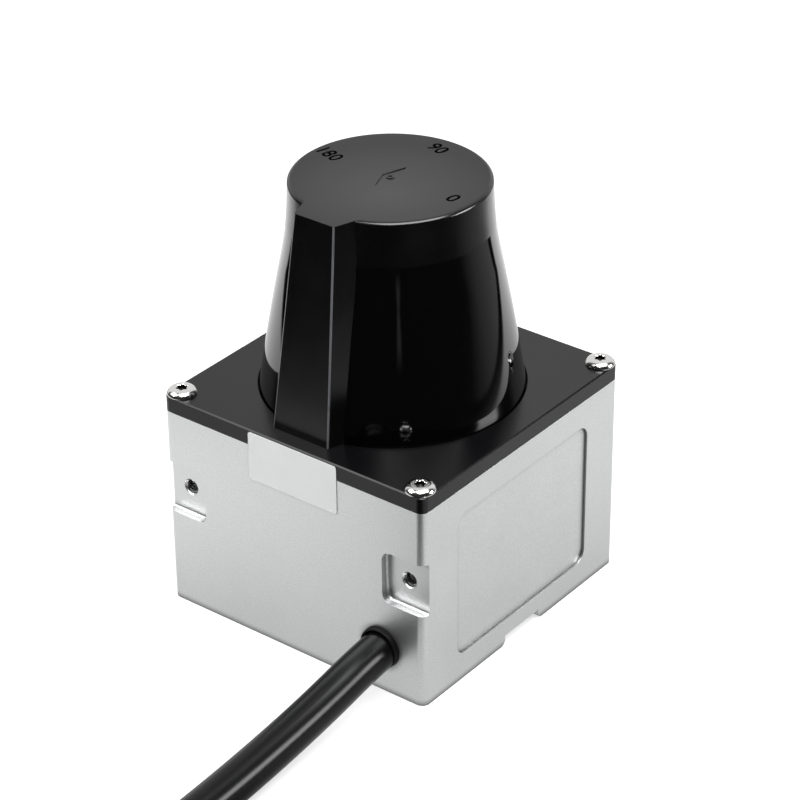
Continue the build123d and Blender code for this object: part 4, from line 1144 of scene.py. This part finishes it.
class SCANNER_OT_hood(bpy.types.Operator):
    """Gloss black hood, one turned shell"""

    bl_idname = "scanner.hood"
    bl_label = "Hood"

    def execute(self, context):
        s = sizes()
        wall = 1.7 * MM
        belly_rise, neck_rise = 12.0 * MM, 26.4 * MM
        base = (s.hood_base, LID_TOP)
        belly = (s.hood_belly, LID_TOP + belly_rise)
        neck = (s.hood_neck, LID_TOP + neck_rise)
        # The slope at the neck: twice the mean slope less the slope of the lower half
        lean = 2 * (s.hood_base - s.hood_neck) / neck_rise - (s.hood_base - s.hood_belly) / belly_rise
        outer = arc_through(base, belly, neck, 24)
        outer += tangent_arc(neck, (s.hood_seam, SEAM), (-lean, 1.0), 10)[1:]
        spigot = 17.75 * MM
        top = SEAM + 4 * MM
        foot = LID_TOP - 1 * MM
        profile = outer + [
            (spigot, SEAM),
            (spigot, top),
            (spigot - wall, top),
            (spigot - wall, SEAM - wall),
            (s.hood_neck - wall, LID_TOP + neck_rise),
            (s.hood_belly - wall, LID_TOP + belly_rise),
            (s.hood_base - wall, LID_TOP),
            (s.hood_base - wall, foot),
            (s.hood_base, foot),
        ]
        hood = lathe("hood", profile, 256)
        wear(hood, "window_plastic", "housing", "optical_window")
        return {"FINISHED"}


class SCANNER_OT_cap(bpy.types.Operator):
    """Cap and rib, with the angle marks sunk into the top"""

    bl_idname = "scanner.cap"
    bl_label = "Cap"

    def execute(self, context):
        cap = soften_edges(merged_copy("top_cap", "cap_and_rib", 26), 0.09 * MM)
        marks = (
            ("0", (14.1, -0.2), -10.0),
            ("90", (-0.1, 14.2), -15.0),
            ("180", (-14.2, 0.7), -16.0),
        )
        cutters = [self.digits(text, spot, turn) for text, spot, turn in marks]
        for slot in ("cap_plastic", "rib_edge_highlight", "cap_face"):
            cap.data.materials.append(finish_for(slot))
        # The top face with the pointer's floor, which gets the cap's painted highlight, and the two slanted
        # edges of the rib, which get a lighter colour as a painted highlight
        top_zone = CAP_TOP - 0.3 * MM
        rib_back = -20.5 * MM
        for face in cap.data.polygons:
            if face.normal.z > 0.97 and face.center.z > top_zone:
                face.material_index = 2
            rib_edge = face.normal.y < -0.5 and 0.06 < abs(face.normal.x) < 0.93 and face.normal.z < 0.4
            if rib_edge and face.center.y < rib_back:
                face.material_index = 1
        cut(cap, cutters)
        cap.data.shade_smooth()
        cap.data.set_sharp_from_angle(angle=radians(26))
        flatten_shading(cap)
        self.round_rim(cap.data)
        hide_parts("top_cap")
        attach(cap, "housing")
        return {"FINISHED"}

    def round_rim(self, mesh):
        """Exact normals on the small round of the cap's rim, away from the rib."""
        fillet = 0.8 * MM
        level = CAP_TOP - fillet
        near = 0.1 * MM
        rim = [v.co for v in mesh.vertices if level - near < v.co.z < level + near and v.co.y > 0]
        heart = max(hypot(co.x, co.y) for co in rim) - fillet
        normals = [corner.vector.copy() for corner in mesh.corner_normals]
        for face in mesh.polygons:
            place = face.center
            if face.material_index or place.z < level or hypot(place.x, place.y) < heart:
                continue
            beside_rib = 0.6 * abs(place.y)
            if place.y < 0 and abs(place.x) < beside_rib:
                continue
            for loop in face.loop_indices:
                co = mesh.vertices[mesh.loops[loop].vertex_index].co
                reach = hypot(co.x, co.y)
                out = max(reach - heart, 0.0) / reach
                normals[loop] = Vector((co.x * out, co.y * out, max(co.z - level, 0.0))).normalized()
        mesh.normals_split_custom_set(normals)

    def digits(self, text, spot, turn):
        """A solid in the form of the digits, standing in the cap's top face."""
        s = sizes()
        # A digit's height as a share of the type size, and its width as a share of the type's
        digit_share, narrowing = 0.729, 0.95
        words = bpy.data.curves.new("mark " + text, "FONT")
        words.body = text
        words.size = s.digit_height / digit_share
        words.align_x = "CENTER"
        words.align_y = "CENTER"
        words.extrude = s.digit_depth
        words.offset = 0.075 * MM
        words.resolution_u = 6
        words.space_character = 1.05
        holder = new_object("mark " + text, words)
        mesh = evaluated_mesh(holder)
        bpy.data.objects.remove(holder)
        low = Vector((min(v.co.x for v in mesh.vertices), min(v.co.y for v in mesh.vertices), 0))
        high = Vector((max(v.co.x for v in mesh.vertices), max(v.co.y for v in mesh.vertices), 0))
        mesh.transform(Matrix.Translation(-(low + high) / 2))
        mesh.transform(
            Matrix.Translation((spot[0] * MM, spot[1] * MM, CAP_TOP))
            @ Matrix.Rotation(radians(turn), 4, "Z")
            @ Matrix.Diagonal((narrowing, 1.0, 1.0, 1.0))
        )
        mesh.materials.clear()
        mesh.materials.append(finish_for("mark_filling"))
        work = bmesh.new()
        work.from_mesh(mesh)
        bmesh.ops.remove_doubles(work, verts=work.verts, dist=0.001 * MM)
        bmesh.ops.recalc_face_normals(work, faces=work.faces)
        work.to_mesh(mesh)
        work.free()
        return new_object("mark cutter " + text, mesh)


class SCANNER_OT_label(bpy.types.Operator):
    """Blank seal label over the joint of lid and housing"""

    bl_idname = "scanner.label"
    bl_label = "Label"

    def execute(self, context):
        label = soften_edges(merged_copy("seal_label", "blank_label"), 0.04 * MM)
        wear(label, "label_film", "housing", "seal_label")
        return {"FINISHED"}


class SCANNER_OT_inner(bpy.types.Operator):
    """Finishes of every piece that keeps its CAD shape"""

    bl_idname = "scanner.inner"
    bl_label = "Inner pieces"

    def execute(self, context):
        for entry in frame["record"]["subparts"]:
            node = nodes[entry["node"]]
            node.data.materials.clear()
            node.data.materials.append(finish_for(entry["material_slot"]))
        return {"FINISHED"}


class SCANNER_PT_panel(bpy.types.Panel):
    """Lists the steps of the scanner's dressing"""

    bl_idname = "SCANNER_PT_panel"
    bl_label = "Scanner"
    bl_space_type = "VIEW_3D"
    bl_region_type = "UI"
    bl_category = "Scanner"

    def draw(self, context):
        layout = self.layout
        for step in STEPS:
            layout.operator(step.bl_idname)
        for group in (context.scene.scanner_sizes, context.scene.scanner_finishes):
            box = layout.box()
            for key in group.__annotations__:
                box.prop(group, key)


STEPS = (
    SCANNER_OT_stage,
    SCANNER_OT_cable,
    SCANNER_OT_housing,
    SCANNER_OT_lid,
    SCANNER_OT_lid_screws,
    SCANNER_OT_hood,
    SCANNER_OT_cap,
    SCANNER_OT_label,
    SCANNER_OT_inner,
)
CLASSES = (ScannerSizes, ScannerFinishes, *STEPS, SCANNER_PT_panel)


def register():
    for cls in CLASSES:
        bpy.utils.register_class(cls)
    bpy.types.Scene.scanner_sizes = PointerProperty(type=ScannerSizes)
    bpy.types.Scene.scanner_finishes = PointerProperty(type=ScannerFinishes)


def unregister():
    del bpy.types.Scene.scanner_finishes
    del bpy.types.Scene.scanner_sizes
    for cls in reversed(CLASSES):
        bpy.utils.unregister_class(cls)


def main():
    register()
    for step in STEPS:
        family, name = step.bl_idname.split(".")
        result = getattr(getattr(bpy.ops, family), name)()
        if result != {"FINISHED"}:
            raise RuntimeError(step.bl_label + " was not finished")


if __name__ == "__main__":
    main()
